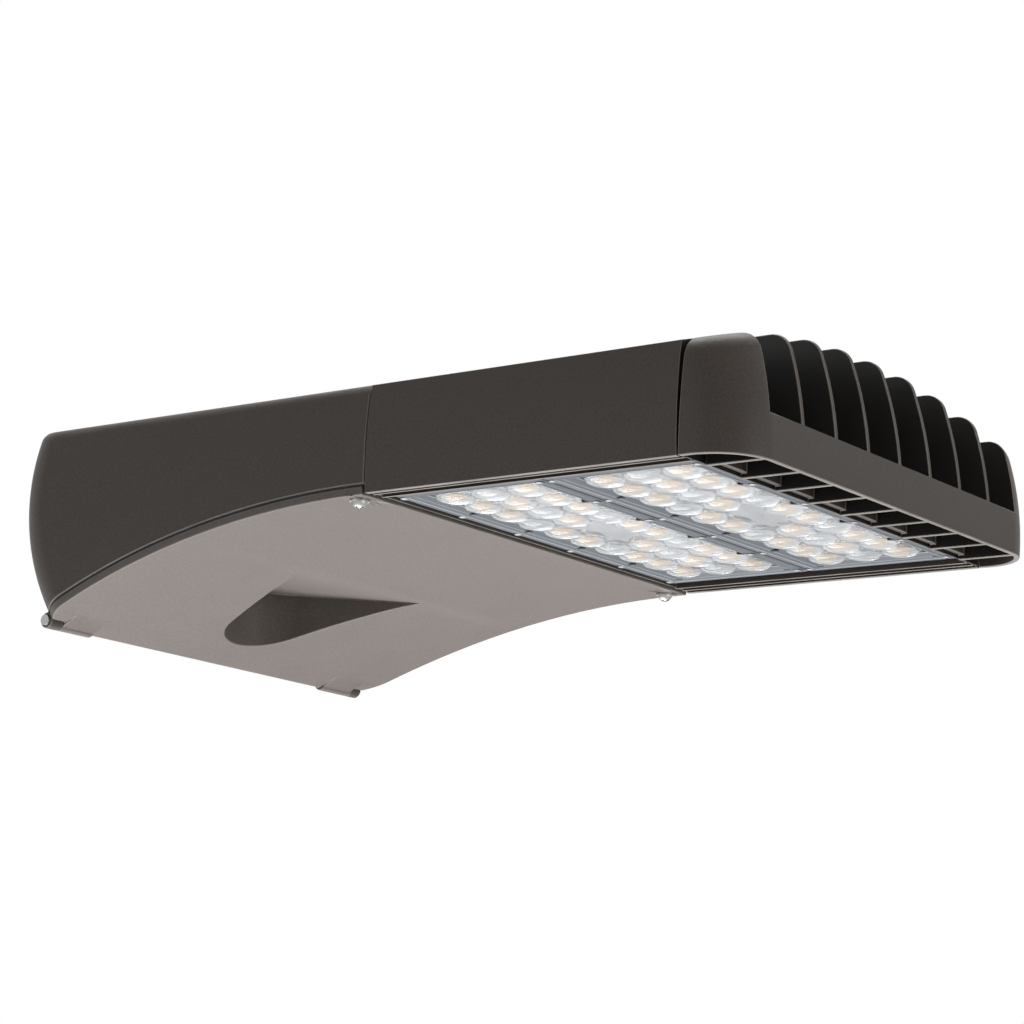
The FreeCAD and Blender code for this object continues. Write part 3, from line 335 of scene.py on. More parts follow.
# ------------------------------------------------------------------ lens plates
# Clear acrylic plates moulded with a dome over each lamp, three rows of ten, and a flat patch in
# the middle of the centre row. They sit over the boards and are clamped by the frames.
PLATE_LOW, PLATE_HIGH = 0.1 * MM, 2.6 * MM
PLATE_LENGTH, PLATE_WIDTH = 85.5 * MM, 267.0 * MM
PLATE_STEP = 1.0 * MM           # spacing of the mesh that the domes are raised from
DOME_RADIUS, DOME_HEIGHT, LENS_PITCH = 11.8 * MM, 4.6 * MM, 26.0 * MM
DOME_POWER = 0.85               # below 1, the dome is fuller than half an ellipsoid
LENS_ROWS, LENS_COLUMNS = 3, 10
CELL_PLAY = 0.1                 # tolerance, in cells, that tells one cell from the next
ACRYLIC_TINT, ACRYLIC_INDEX = (0.78, 0.805, 0.83, 1), 1.41
ACRYLIC_BODY, ACRYLIC_SHADOW = 0.76, 0.06   # how solid the plate is to sight, and to the lamps' light


def geometry_tree(name, inputs):
    """Starts a Geometry Nodes tree; returns it with its input node and each input's identifier."""
    tree = bpy.data.node_groups.new(name, "GeometryNodeTree")
    for title, kind, value in inputs:
        socket = tree.interface.new_socket(name=title, in_out="INPUT", socket_type=kind)
        if value is not None:
            socket.default_value = value
    tree.interface.new_socket(name="Geometry", in_out="OUTPUT", socket_type="NodeSocketGeometry")
    named = {s.name: s.identifier for s in tree.interface.items_tree if s.in_out == "INPUT"}
    return tree, tree.nodes.new("NodeGroupInput"), named


def number(tree, operation, first, second=0.0):
    return put(tree, "ShaderNodeMath", {0: first, 1: second}, operation=operation).outputs[0]


def near(tree, value, target, within):
    """1 where the value is within the given distance of the target, else 0."""
    return put(tree, "ShaderNodeMath", {0: value, 1: target, 2: within}, operation="COMPARE").outputs[0]


def place_all(tree, points, instance, centre, material):
    """Puts the instance on every point, moves the set to its centre and ends the tree."""
    placed = put(tree, "GeometryNodeInstanceOnPoints", {"Points": points, "Instance": instance})
    moved = put(tree, "GeometryNodeTransform", {"Geometry": placed.outputs[0], "Translation": centre})
    end_tree(tree, moved.outputs[0], material)


def lens_grid(tree, pitch):
    """One point in the middle of each cell of a module, and the points' coordinates."""
    grid = put(tree, "GeometryNodeMeshGrid",
               {"Size X": number(tree, "MULTIPLY", pitch, LENS_ROWS - 1.0),
                "Size Y": number(tree, "MULTIPLY", pitch, LENS_COLUMNS - 1.0),
                "Vertices X": LENS_ROWS, "Vertices Y": LENS_COLUMNS})
    spot = put(tree, "ShaderNodeSeparateXYZ", {0: put(tree, "GeometryNodeInputPosition").outputs[0]})
    return grid.outputs["Mesh"], spot


def edge_grid(tree, side, pitch):
    """Two rows of points along a frame's long sides, one for each of its screws."""
    grid = put(tree, "GeometryNodeMeshGrid",
               {"Size X": number(tree, "MULTIPLY", side, 2.0),
                "Size Y": number(tree, "MULTIPLY", pitch, SCREW_COUNT - 1.0),
                "Vertices X": 2, "Vertices Y": SCREW_COUNT})
    return grid.outputs["Mesh"]


def end_tree(tree, geometry, material):
    """Ends a tree in Realize Instances and Set Material."""
    real = put(tree, "GeometryNodeRealizeInstances", {"Geometry": geometry})
    painted = put(tree, "GeometryNodeSetMaterial", {"Geometry": real.outputs[0], "Material": material})
    put(tree, "NodeGroupOutput", {0: painted.outputs[0]})


def grown(name, tree, named, values, material, smooth_angle=None):
    """Runs a tree with the given input values and keeps its result as a plain mesh."""
    seed = bpy.data.objects.new(name + "_seed", bpy.data.meshes.new(name + "_seed"))
    bpy.context.scene.collection.objects.link(seed)
    modifier = seed.modifiers.new("Build", "NODES")
    modifier.node_group = tree
    for title, value in values.items():
        modifier[named[title]] = value
    seed.update_tag()
    graph = bpy.context.evaluated_depsgraph_get()
    mesh = bpy.data.meshes.new_from_object(seed.evaluated_get(graph))
    bpy.data.objects.remove(seed)
    mesh.name = name
    for face in mesh.polygons:
        face.use_smooth = smooth_angle is not None
    if smooth_angle is not None:
        mesh.set_sharp_from_angle(angle=math.radians(smooth_angle))
    piece = bpy.data.objects.new(name, mesh)
    bpy.context.scene.collection.objects.link(piece)
    return dress(piece, material)


acrylic, acrylic_tree, acrylic_shader = new_material("Clear acrylic")
acrylic_at = put(acrylic_tree, "ShaderNodeTexCoord").outputs["Object"]
acrylic_haze = put(acrylic_tree, "ShaderNodeTexNoise", {"Vector": acrylic_at, "Scale": 60.0, "Detail": 3.0})
acrylic_gloss = put(acrylic_tree, "ShaderNodeMapRange",
                    {"Value": acrylic_haze.outputs["Fac"], "To Min": 0.05, "To Max": 0.12})
acrylic_path = put(acrylic_tree, "ShaderNodeLightPath")
acrylic_pass = put(acrylic_tree, "ShaderNodeMapRange",
                   {"Value": acrylic_path.outputs["Is Shadow Ray"],
                    "To Min": ACRYLIC_BODY, "To Max": ACRYLIC_SHADOW})
acrylic_tree.links.new(acrylic_gloss.outputs["Result"], acrylic_shader.inputs["Roughness"])
acrylic_tree.links.new(acrylic_pass.outputs["Result"], acrylic_shader.inputs["Alpha"])
acrylic_shader.inputs["Base Color"].default_value = ACRYLIC_TINT
acrylic_shader.inputs["Transmission Weight"].default_value = 1.0
acrylic_shader.inputs["IOR"].default_value = ACRYLIC_INDEX

plate_tree, plate_in, plate_named = geometry_tree(
    "Lens plate", [("Centre", "NodeSocketVector", None), ("Size", "NodeSocketVector", None),
                   ("Pitch", NUMBER, LENS_PITCH), ("Dome radius", NUMBER, DOME_RADIUS),
                   ("Dome height", NUMBER, DOME_HEIGHT), ("Step", NUMBER, PLATE_STEP)])
plate_size = put(plate_tree, "ShaderNodeSeparateXYZ", {0: plate_in.outputs["Size"]})
plate_counts = [number(plate_tree, "ADD", number(plate_tree, "DIVIDE", plate_size.outputs[i],
                                                 plate_in.outputs["Step"]), 1.0) for i in (0, 1)]
plate_block = put(plate_tree, "GeometryNodeMeshCube",
                  {"Size": plate_in.outputs["Size"], "Vertices X": plate_counts[0],
                   "Vertices Y": plate_counts[1], "Vertices Z": 2})
plate_spot = put(plate_tree, "GeometryNodeInputPosition")
plate_axes = put(plate_tree, "ShaderNodeSeparateXYZ", {0: plate_spot.outputs[0]})
plate_cell = []
plate_off = []
for axis, shift in ((0, 0.5), (1, 0.0)):
    turns = number(plate_tree, "DIVIDE", plate_axes.outputs[axis], plate_in.outputs["Pitch"])
    cell = number(plate_tree, "FLOOR", number(plate_tree, "ADD", turns, shift))
    middle = number(plate_tree, "ADD", cell, 0.5 - shift)
    plate_cell.append(cell)
    plate_off.append(number(plate_tree, "MULTIPLY", number(plate_tree, "SUBTRACT", turns, middle),
                            plate_in.outputs["Pitch"]))
plate_reach = number(plate_tree, "SQRT", number(
    plate_tree, "ADD", number(plate_tree, "MULTIPLY", plate_off[0], plate_off[0]),
    number(plate_tree, "MULTIPLY", plate_off[1], plate_off[1])))
plate_share = number(plate_tree, "MINIMUM", number(plate_tree, "DIVIDE", plate_reach,
                                                   plate_in.outputs["Dome radius"]), 1.0)
plate_round = number(plate_tree, "SQRT", number(
    plate_tree, "SUBTRACT", 1.0, number(plate_tree, "MULTIPLY", plate_share, plate_share)))
plate_round = number(plate_tree, "POWER", plate_round, DOME_POWER)
# No dome over the two middle cells of the centre row, nor past the last row or column.
plate_middle_row = near(plate_tree, plate_cell[0], 0.0, CELL_PLAY)
plate_middle_pair = near(plate_tree, plate_cell[1], -0.5, 0.5 + CELL_PLAY)
plate_blank = number(plate_tree, "MULTIPLY", plate_middle_row, plate_middle_pair)
plate_inside = number(plate_tree, "MULTIPLY",
                      number(plate_tree, "LESS_THAN", number(plate_tree, "ABSOLUTE", plate_cell[0]),
                             (LENS_ROWS - 1) / 2 + CELL_PLAY),
                      number(plate_tree, "LESS_THAN", number(plate_tree, "ABSOLUTE", number(
                          plate_tree, "ADD", plate_cell[1], 0.5)), (LENS_COLUMNS - 1) / 2 + CELL_PLAY))
plate_lit = number(plate_tree, "MULTIPLY", plate_inside, number(plate_tree, "SUBTRACT", 1.0, plate_blank))
plate_lift = number(plate_tree, "MULTIPLY", number(plate_tree, "MULTIPLY", plate_round, plate_lit),
                    plate_in.outputs["Dome height"])
plate_lower = number(plate_tree, "LESS_THAN", plate_axes.outputs[2], 0.0)
plate_drop = put(plate_tree, "ShaderNodeCombineXYZ", {"Z": number(plate_tree, "MULTIPLY", plate_lift, -1.0)})
plate_domed = put(plate_tree, "GeometryNodeSetPosition",
                  {"Geometry": plate_block.outputs["Mesh"], "Selection": plate_lower,
                   "Offset": plate_drop.outputs[0]})
plate_set = put(plate_tree, "GeometryNodeTransform",
                {"Geometry": plate_domed.outputs[0], "Translation": plate_in.outputs["Centre"]})
end_tree(plate_tree, plate_set.outputs[0], acrylic)

modules = {}
for side in SIDES:
    low, high = (Vector(c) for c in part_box(side + "_optic_frame"))
    centre = (low + high) / 2
    modules[side] = centre
    plate = grown(side + "_lens_plate", plate_tree, plate_named,
                  {"Centre": (centre.x, centre.y, (PLATE_LOW + PLATE_HIGH) / 2),
                   "Size": (PLATE_LENGTH, PLATE_WIDTH, PLATE_HIGH - PLATE_LOW)}, acrylic, 60)
    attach(plate, "fixture")
    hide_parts(side + "_optic_plate")

# ------------------------------------------------------------------ boards
# Lacquered circuit boards behind the plates, drawn mid grey, with faint tracks under the lacquer.
BOARD_PLAIN, BOARD_TRACK = (0.132, 0.138, 0.148, 1), (0.125, 0.131, 0.141, 1)
BOARD_LINE = (0.114, 0.120, 0.130, 1)
board_lacquer, board_tree, board_shader = new_material("Board lacquer")
board_at = put(board_tree, "ShaderNodeTexCoord").outputs["Object"]
board_tracks = put(board_tree, "ShaderNodeTexBrick",
                   {"Vector": board_at, "Scale": 38.0, "Mortar Size": 0.03,
                    "Color1": BOARD_PLAIN, "Color2": BOARD_TRACK, "Mortar": BOARD_LINE})
board_dust = put(board_tree, "ShaderNodeTexNoise", {"Vector": board_at, "Scale": 120.0, "Detail": 3.0})
board_rough = put(board_tree, "ShaderNodeMapRange",
                  {"Value": board_dust.outputs["Fac"], "To Min": 0.35, "To Max": 0.55})
board_tree.links.new(board_tracks.outputs["Color"], board_shader.inputs["Base Color"])
board_tree.links.new(board_rough.outputs["Result"], board_shader.inputs["Roughness"])
for side in SIDES:
    dress(nodes[side + "_led_board"], board_lacquer)

# ------------------------------------------------------------------ lamps on the boards
# Surface-mounted emitters, a square chip with a round dam of warm yellow phosphor silicone, on every
# lit cell of the outer rows and on four cells of the centre row. The dam is drawn as large as the
# lens makes the chip look.
EMITTER_SIDE, EMITTER_LOW, EMITTER_HIGH = 3.5 * MM, 2.7 * MM, 3.4 * MM
DAM_RADIUS, DAM_DEPTH, DAM_LIFT = 5.0 * MM, 0.3 * MM, 0.19 * MM
PHOSPHOR_DEEP, PHOSPHOR_PALE = (0.50, 0.24, 0.015), (0.62, 0.34, 0.04)
phosphor, phosphor_tree, phosphor_shader = new_material("Warm phosphor")
phosphor_at = put(phosphor_tree, "ShaderNodeTexCoord").outputs["Object"]
phosphor_grain = put(phosphor_tree, "ShaderNodeTexNoise",
                     {"Vector": phosphor_at, "Scale": 1500.0, "Detail": 2.0})
phosphor_tint = two_tone(phosphor_tree, phosphor_grain.outputs["Fac"], PHOSPHOR_DEEP, PHOSPHOR_PALE)
phosphor_tree.links.new(phosphor_tint, phosphor_shader.inputs["Base Color"])
phosphor_shader.inputs["Roughness"].default_value = 0.4

emitter_tree, emitter_in, emitter_named = geometry_tree(
    "Emitters", [("Centre", "NodeSocketVector", None), ("Side", NUMBER, EMITTER_SIDE),
                 ("Height", NUMBER, EMITTER_HIGH - EMITTER_LOW), ("Pitch", NUMBER, LENS_PITCH),
                 ("Dam radius", NUMBER, DAM_RADIUS)])
emitter_grid, emitter_spot = lens_grid(emitter_tree, emitter_in.outputs["Pitch"])
emitter_step = number(emitter_tree, "ABSOLUTE", number(
    emitter_tree, "DIVIDE", emitter_spot.outputs[1], emitter_in.outputs["Pitch"]))
emitter_centre = number(emitter_tree, "LESS_THAN",
                        number(emitter_tree, "ABSOLUTE", emitter_spot.outputs[0]), MM)
# Counted from 0, outer rows leave out columns 3 and 6, and the centre row keeps 1, 3, 6 and 8.
emitter_third = near(emitter_tree, emitter_step, 1.5, CELL_PLAY)
emitter_eighth = near(emitter_tree, emitter_step, 3.5, CELL_PLAY)
emitter_inner = number(emitter_tree, "MULTIPLY",
                       number(emitter_tree, "ADD", emitter_third, emitter_eighth), emitter_centre)
emitter_outer = number(emitter_tree, "MULTIPLY", number(emitter_tree, "SUBTRACT", 1.0, emitter_third),
                       number(emitter_tree, "SUBTRACT", 1.0, emitter_centre))
emitter_points = put(emitter_tree, "GeometryNodeMeshToPoints",
                     {"Mesh": emitter_grid,
                      "Selection": number(emitter_tree, "ADD", emitter_inner, emitter_outer)})
emitter_size = put(emitter_tree, "ShaderNodeCombineXYZ",
                   {"X": emitter_in.outputs["Side"], "Y": emitter_in.outputs["Side"],
                    "Z": emitter_in.outputs["Height"]})
emitter_block = put(emitter_tree, "GeometryNodeMeshCube",
                    {"Size": emitter_size.outputs[0], "Vertices X": 3, "Vertices Y": 3, "Vertices Z": 2})
emitter_soft = put(emitter_tree, "GeometryNodeSubdivideMesh",
                   {"Mesh": emitter_block.outputs["Mesh"], "Level": 1})
emitter_dam = put(emitter_tree, "GeometryNodeMeshCylinder",
                  {"Vertices": 24, "Radius": emitter_in.outputs["Dam radius"], "Depth": DAM_DEPTH})
emitter_low = put(emitter_tree, "GeometryNodeTransform",
                  {"Geometry": emitter_dam.outputs["Mesh"], "Translation": (0, 0, DAM_LIFT)})
emitter_whole = put(emitter_tree, "GeometryNodeJoinGeometry")
emitter_tree.links.new(emitter_soft.outputs[0], emitter_whole.inputs[0])
emitter_tree.links.new(emitter_low.outputs[0], emitter_whole.inputs[0])
place_all(emitter_tree, emitter_points.outputs[0], emitter_whole.outputs[0],
          emitter_in.outputs["Centre"], phosphor)
for side, centre in modules.items():
    lamps = grown(side + "_emitters", emitter_tree, emitter_named,
                  {"Centre": (centre.x, centre.y, (EMITTER_LOW + EMITTER_HIGH) / 2)}, phosphor)
    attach(lamps, "fixture")
    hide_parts(side + "_leds")

# ------------------------------------------------------------------ painted highlight rings
# Pale rings on the boards round each dome's foot, wider on one side: painted highlights that stand for
# the pale crescents the domes show. The rings themselves are a guess: the solids have none.
RING_OUTER, RING_INNER, RING_SHIFT = 11.6 * MM, 10.6 * MM, (-0.45 * MM, -0.5 * MM, 0)
RING_LOW, RING_HIGH = 3.05 * MM, 3.4 * MM
BLANK_REACH = 0.75 * LENS_PITCH # the two middle cells lie closer to the middle than this
highlight_ring_paint = moulded("Painted highlight white", (0.40, 0.41, 0.43), (0.50, 0.51, 0.53), 0.4)
ring_tree, ring_in, ring_named = geometry_tree(
    "Painted highlight rings", [("Centre", "NodeSocketVector", None), ("Outer", NUMBER, RING_OUTER),
                        ("Inner", NUMBER, RING_INNER), ("Pitch", NUMBER, LENS_PITCH)])
ring_grid, ring_spot = lens_grid(ring_tree, ring_in.outputs["Pitch"])
ring_near = number(ring_tree, "ADD", number(ring_tree, "ABSOLUTE", ring_spot.outputs[0]),
                   number(ring_tree, "ABSOLUTE", ring_spot.outputs[1]))
ring_points = put(ring_tree, "GeometryNodeMeshToPoints",
                  {"Mesh": ring_grid,
                   "Selection": number(ring_tree, "GREATER_THAN", ring_near, BLANK_REACH)})
ring_disc = put(ring_tree, "GeometryNodeMeshCylinder",
                {"Vertices": 32, "Radius": ring_in.outputs["Outer"], "Depth": RING_HIGH - RING_LOW})
ring_core = put(ring_tree, "GeometryNodeMeshCylinder",
                {"Vertices": 32, "Radius": ring_in.outputs["Inner"], "Depth": RING_HIGH})
ring_moved = put(ring_tree, "GeometryNodeTransform",
                 {"Geometry": ring_core.outputs["Mesh"], "Translation": RING_SHIFT})
ring_cut = put(ring_tree, "GeometryNodeMeshBoolean", {0: ring_disc.outputs["Mesh"]}, operation="DIFFERENCE")
ring_tree.links.new(ring_moved.outputs[0], ring_cut.inputs[1])
place_all(ring_tree, ring_points.outputs[0], ring_cut.outputs[0], ring_in.outputs["Centre"], highlight_ring_paint)
for side, centre in modules.items():
    rings = grown(side + "_painted_highlight_rings", ring_tree, ring_named,
                  {"Centre": (centre.x, centre.y, (RING_LOW + RING_HIGH) / 2)}, highlight_ring_paint)
    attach(rings, "fixture")

# ------------------------------------------------------------------ lens frames
# Grey moulded frames that clamp the plates: a flat flange with two fine grooves, then a slope down
# to the plate with a dark release slot of painted shade beside each screw. The narrow steps of the section
# carry a painted highlight.
GREY, GREY_PALE = (0.105, 0.118, 0.135), (0.145, 0.160, 0.178)
FRAME_HIGHLIGHT_GREY, FRAME_HIGHLIGHT_SHARE = (0.42, 0.44, 0.46, 1), 0.75
NARROW = 0.65                   # steps of the section narrower than this get a painted highlight along them
FRAME_HALF_X, FRAME_HALF_Y, FRAME_CORNER = 52.75 * MM, 143.5 * MM, 4.0 * MM
# Inward distance and height of each corner of the frame's section, from its back edge round.
FRAME_SECTION = [(0.0, 3.4), (0.0, -1.5), (0.3, -2.1), (1.5, -2.4), (1.7, -2.0), (2.3, -2.0), (2.5, -2.45),
                 (4.9, -2.7), (5.1, -2.3), (5.7, -2.3), (5.9, -2.9), (6.7, -3.0), (7.3, -2.8), (9.2, -2.1),
                 (9.4, -1.8), (9.9, -1.75), (10.1, -1.9), (14.0, -0.35), (14.5, -0.05), (14.5, 0.05),
                 (7.4, 0.05), (1.6, 0.05), (1.6, 3.4)]
CORNER_STEPS = 5
grey_mould, grey_tree, grey_shader = new_material("Grey frame moulding")
grey_at = put(grey_tree, "ShaderNodeTexCoord").outputs["Object"]
grey_flow = put(grey_tree, "ShaderNodeTexNoise", {"Vector": grey_at, "Scale": 45.0, "Detail": 5.0})
grey_tone = two_tone(grey_tree, grey_flow.outputs["Fac"], GREY, GREY_PALE)
# Faces of the narrow steps get a pale painted highlight.
grey_edge = put(grey_tree, "ShaderNodeAttribute", attribute_name="edge_band")
grey_highlight = put(grey_tree, "ShaderNodeMath",
                 {0: grey_edge.outputs["Fac"], 1: FRAME_HIGHLIGHT_SHARE}, operation="MULTIPLY")
grey_mix = put(grey_tree, "ShaderNodeMix", {"Factor": grey_highlight.outputs[0]}, data_type="RGBA")
grey_tree.links.new(grey_tone, grey_mix.inputs[MIX_FIRST])
grey_mix.inputs[MIX_SECOND].default_value = FRAME_HIGHLIGHT_GREY
grey_grain = put(grey_tree, "ShaderNodeTexNoise", {"Vector": grey_at, "Scale": 1400.0})
grey_bump = put(grey_tree, "ShaderNodeBump",
                {"Height": grey_grain.outputs["Fac"], "Strength": 0.15, "Distance": BUMP_DEPTH})
grey_tree.links.new(grey_mix.outputs[MIX_RESULT], grey_shader.inputs["Base Color"])
grey_tree.links.new(grey_bump.outputs["Normal"], grey_shader.inputs["Normal"])
grey_shader.inputs["Roughness"].default_value = 0.5
grey_shader.inputs["Specular IOR Level"].default_value = 0.2


def frame_loop(inward):
    """Points round the frame's outline, set in by the given distance."""
    radius = max(FRAME_CORNER - inward, 0.25 * MM)
    points = []
    for turn, (sx, sy) in enumerate(((1, 1), (-1, 1), (-1, -1), (1, -1))):
        for k in range(CORNER_STEPS):
            angle = math.radians(90 * turn + 90 * k / (CORNER_STEPS - 1))
            points.append((sx * (FRAME_HALF_X - inward - radius) + radius * math.cos(angle),
                           sy * (FRAME_HALF_Y - inward - radius) + radius * math.sin(angle)))
    return points


for side, centre in modules.items():
    bm = bmesh.new()
    loops = [[bm.verts.new((centre.x + x, centre.y + y, height * MM)) for x, y in frame_loop(inward * MM)]
             for inward, height in FRAME_SECTION]
    band = bm.faces.layers.float.new("edge_band")
    for k, loop in enumerate(loops):
        other = loops[(k + 1) % len(loops)]
        for i in range(len(loop)):
            j = (i + 1) % len(loop)
            face = bm.faces.new((loop[i], loop[j], other[j], other[i]))
            step = abs(FRAME_SECTION[k][0] - FRAME_SECTION[(k + 1) % len(loops)][0])
            face[band] = 1.0 if step < NARROW and FRAME_SECTION[k][1] < 0.0 and k > 1 else 0.0
            face.smooth = True
    bmesh.ops.recalc_face_normals(bm, faces=bm.faces)
    frame_mesh = bpy.data.meshes.new(side + "_lens_frame")
    bm.to_mesh(frame_mesh)
    bm.free()
    frame_mesh.set_sharp_from_angle(angle=math.radians(30))
    lens_frame = bpy.data.objects.new(side + "_lens_frame", frame_mesh)
    bpy.context.scene.collection.objects.link(lens_frame)
    dress(lens_frame, grey_mould)
    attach(lens_frame, "fixture")
    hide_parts(side + "_optic_frame")

# ------------------------------------------------------------------ frame screws and release slots
# Small pan-head screws down both long sides of each frame, with a cross recess, and dark boxes of
# painted shade on the slope beside them that stand for the shaded openings of release slots. The solids have
# no openings there.
SCREW_SIDE, SCREW_PITCH, SCREW_COUNT = 48.55 * MM, 54.0 * MM, 6
SCREW_RADIUS, SCREW_CROWN, SCREW_SEAT = 2.7 * MM, 1.3 * MM, -2.6 * MM
CROWN_FALL = 0.6                # the head's rim is lower than its middle by this share of the crown
RECESS_WIDE, RECESS_LONG, RECESS_DEPTH = 0.22, 1.15, 0.75   # shares of the head's radius and crown
SLOT_SIDE, SLOT_HEIGHT = 41.2 * MM, -1.1 * MM
SLOT_SIZE = (5.0 * MM, 2.2 * MM, 2.0 * MM)
bright_steel = steel("Bright screw steel", (0.40, 0.39, 0.38), 0.36)
frame_steel = steel("Frame screw steel", (0.24, 0.24, 0.25), 0.5)
screw_tree, screw_in, screw_named = geometry_tree(
    "Frame screws", [("Centre", "NodeSocketVector", None), ("Side", NUMBER, SCREW_SIDE),
                     ("Pitch", NUMBER, SCREW_PITCH), ("Radius", NUMBER, SCREW_RADIUS),
                     ("Crown", NUMBER, SCREW_CROWN)])
screw_head = put(screw_tree, "GeometryNodeMeshCylinder",
                 {"Vertices": 20, "Side Segments": 1, "Fill Segments": 3,
                  "Radius": screw_in.outputs["Radius"], "Depth": screw_in.outputs["Crown"]})
screw_at = put(screw_tree, "ShaderNodeSeparateXYZ",
               {0: put(screw_tree, "GeometryNodeInputPosition").outputs[0]})
screw_reach = number(screw_tree, "ADD",
                     number(screw_tree, "MULTIPLY", screw_at.outputs[0], screw_at.outputs[0]),
                     number(screw_tree, "MULTIPLY", screw_at.outputs[1], screw_at.outputs[1]))
screw_fall = number(screw_tree, "DIVIDE", screw_reach, number(
    screw_tree, "MULTIPLY", screw_in.outputs["Radius"], screw_in.outputs["Radius"]))
screw_drop = put(screw_tree, "ShaderNodeCombineXYZ", {"Z": number(screw_tree, "MULTIPLY", number(
    screw_tree, "MULTIPLY", screw_fall, CROWN_FALL), screw_in.outputs["Crown"])})
screw_dome = put(screw_tree, "GeometryNodeSetPosition",
                 {"Geometry": screw_head.outputs["Mesh"],
                  "Selection": number(screw_tree, "LESS_THAN", screw_at.outputs[2], 0.0),
                  "Offset": screw_drop.outputs[0]})
screw_bars = []
for across, along in ((RECESS_WIDE, RECESS_LONG), (RECESS_LONG, RECESS_WIDE)):
    size = put(screw_tree, "ShaderNodeCombineXYZ",
               {"X": number(screw_tree, "MULTIPLY", screw_in.outputs["Radius"], across),
                "Y": number(screw_tree, "MULTIPLY", screw_in.outputs["Radius"], along),
                "Z": screw_in.outputs["Crown"]})
    bar = put(screw_tree, "GeometryNodeMeshCube", {"Size": size.outputs[0]})
    low_bar = put(screw_tree, "GeometryNodeTransform",
                  {"Geometry": bar.outputs["Mesh"], "Translation": (0, 0, -RECESS_DEPTH * SCREW_CROWN)})
    screw_bars.append(low_bar.outputs[0])
screw_cut = put(screw_tree, "GeometryNodeMeshBoolean", {0: screw_dome.outputs[0]}, operation="DIFFERENCE")
for bar in screw_bars:
    screw_tree.links.new(bar, screw_cut.inputs[1])
screw_points = edge_grid(screw_tree, screw_in.outputs["Side"], screw_in.outputs["Pitch"])
place_all(screw_tree, screw_points, screw_cut.outputs[0], screw_in.outputs["Centre"], frame_steel)

# Near-black boxes of painted shade for the slots' openings.
dark_slot, dark_tree, dark_shader = new_material("Slot shadow")
dark_at = put(dark_tree, "ShaderNodeTexCoord").outputs["Object"]
dark_noise = put(dark_tree, "ShaderNodeTexNoise", {"Vector": dark_at, "Scale": 300.0})
dark_tone = two_tone(dark_tree, dark_noise.outputs["Fac"], (0.012, 0.012, 0.013), (0.03, 0.03, 0.032))
dark_tree.links.new(dark_tone, dark_shader.inputs["Base Color"])
dark_shader.inputs["Roughness"].default_value = 0.8
slot_tree, slot_in, slot_named = geometry_tree(
    "Release slots", [("Centre", "NodeSocketVector", None), ("Side", NUMBER, SLOT_SIDE),
                      ("Pitch", NUMBER, SCREW_PITCH), ("Slot", "NodeSocketVector", None)])
slot_points = edge_grid(slot_tree, slot_in.outputs["Side"], slot_in.outputs["Pitch"])
slot_box = put(slot_tree, "GeometryNodeMeshCube", {"Size": slot_in.outputs["Slot"]})
place_all(slot_tree, slot_points, slot_box.outputs["Mesh"], slot_in.outputs["Centre"], dark_slot)

for side, centre in modules.items():
    slots = grown(side + "_release_slots", slot_tree, slot_named,
                  {"Centre": (centre.x, centre.y, SLOT_HEIGHT), "Slot": SLOT_SIZE}, dark_slot)
    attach(slots, "fixture")
    heads = grown(side + "_frame_screw_heads", screw_tree, screw_named,
                  {"Centre": (centre.x, centre.y, SCREW_SEAT - SCREW_CROWN / 2)}, frame_steel, 30)
    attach(heads, "fixture")
    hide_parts("frame_screws")

# ------------------------------------------------------------------ other fasteners and pins
# Steel screws, door screws and hinge pins, kept as the CAD has them.
dull_steel = steel("Zinc steel", (0.50, 0.49, 0.47), 0.42)
for name in ("housing_screws", "bezel_screws", "gear_screws"):
    dress(nodes[name], dull_steel)
for name in ("right_door_screw", "left_door_screw", "hinge_pins"):
    dress(nodes[name], bright_steel)

# ------------------------------------------------------------------ gaskets and rings
# Black silicone that seals the arm, the seams, the door, the lens plates and the leads' hole, and the
# nylon rings that keep the door screws in the door.
silicone = moulded("Black silicone", (0.010, 0.010, 0.010), (0.022, 0.022, 0.021), 0.75)
nylon = moulded("Black nylon", (0.014, 0.014, 0.014), (0.03, 0.03, 0.03), 0.5)
for name, node in nodes.items():
    if "gasket" in name or "grommet" in name:
        dress(node, silicone)
for name in ("right_retaining_ring", "left_retaining_ring"):
    dress(nodes[name], nylon)

# ------------------------------------------------------------------ electrical gear
# Driver in its can, surge protector, terminal block and their leads, behind the door.
driver_can = moulded("Driver can", (0.42, 0.42, 0.41), (0.52, 0.52, 0.50), 0.4, 90.0, 0.7)
surge_case = moulded("Surge case", (0.02, 0.02, 0.022), (0.035, 0.035, 0.038), 0.35)
block_nylon = moulded("Terminal nylon", (0.55, 0.53, 0.46), (0.64, 0.62, 0.55), 0.5)
brass = moulded("Brass", (0.55, 0.38, 0.14), (0.68, 0.48, 0.20), 0.35, 500.0, 1.0)
green_steel = moulded("Green dyed steel", (0.02, 0.16, 0.05), (0.03, 0.24, 0.08), 0.4, 400.0, 0.6)
sensor_black = moulded("Sensor body", (0.012, 0.012, 0.014), (0.03, 0.03, 0.034), 0.3)
for name, material in (("led_driver", driver_can), ("surge_protector", surge_case),
                       ("terminal_block", block_nylon), ("clamp_screws", brass),
                       ("ground_screw", green_steel), ("board_sensors", sensor_black)):
    dress(nodes[name], material)
lead_skins = {}
for slot_name, tint in (("lead_black", (0.015, 0.015, 0.015)), ("lead_green", (0.02, 0.22, 0.06)),
                        ("lead_red", (0.42, 0.02, 0.015)), ("lead_blue", (0.02, 0.06, 0.36))):
    lead_skins[slot_name] = moulded("Insulation " + slot_name, tuple(c * DARKER for c in tint), tint, 0.4)
for name, slot_name in (("supply_leads", "lead_black"), ("surge_leads", "lead_blue"),
                        ("ground_lead", "lead_green"), ("led_leads", "lead_red")):
    dress(nodes[name], lead_skins[slot_name])

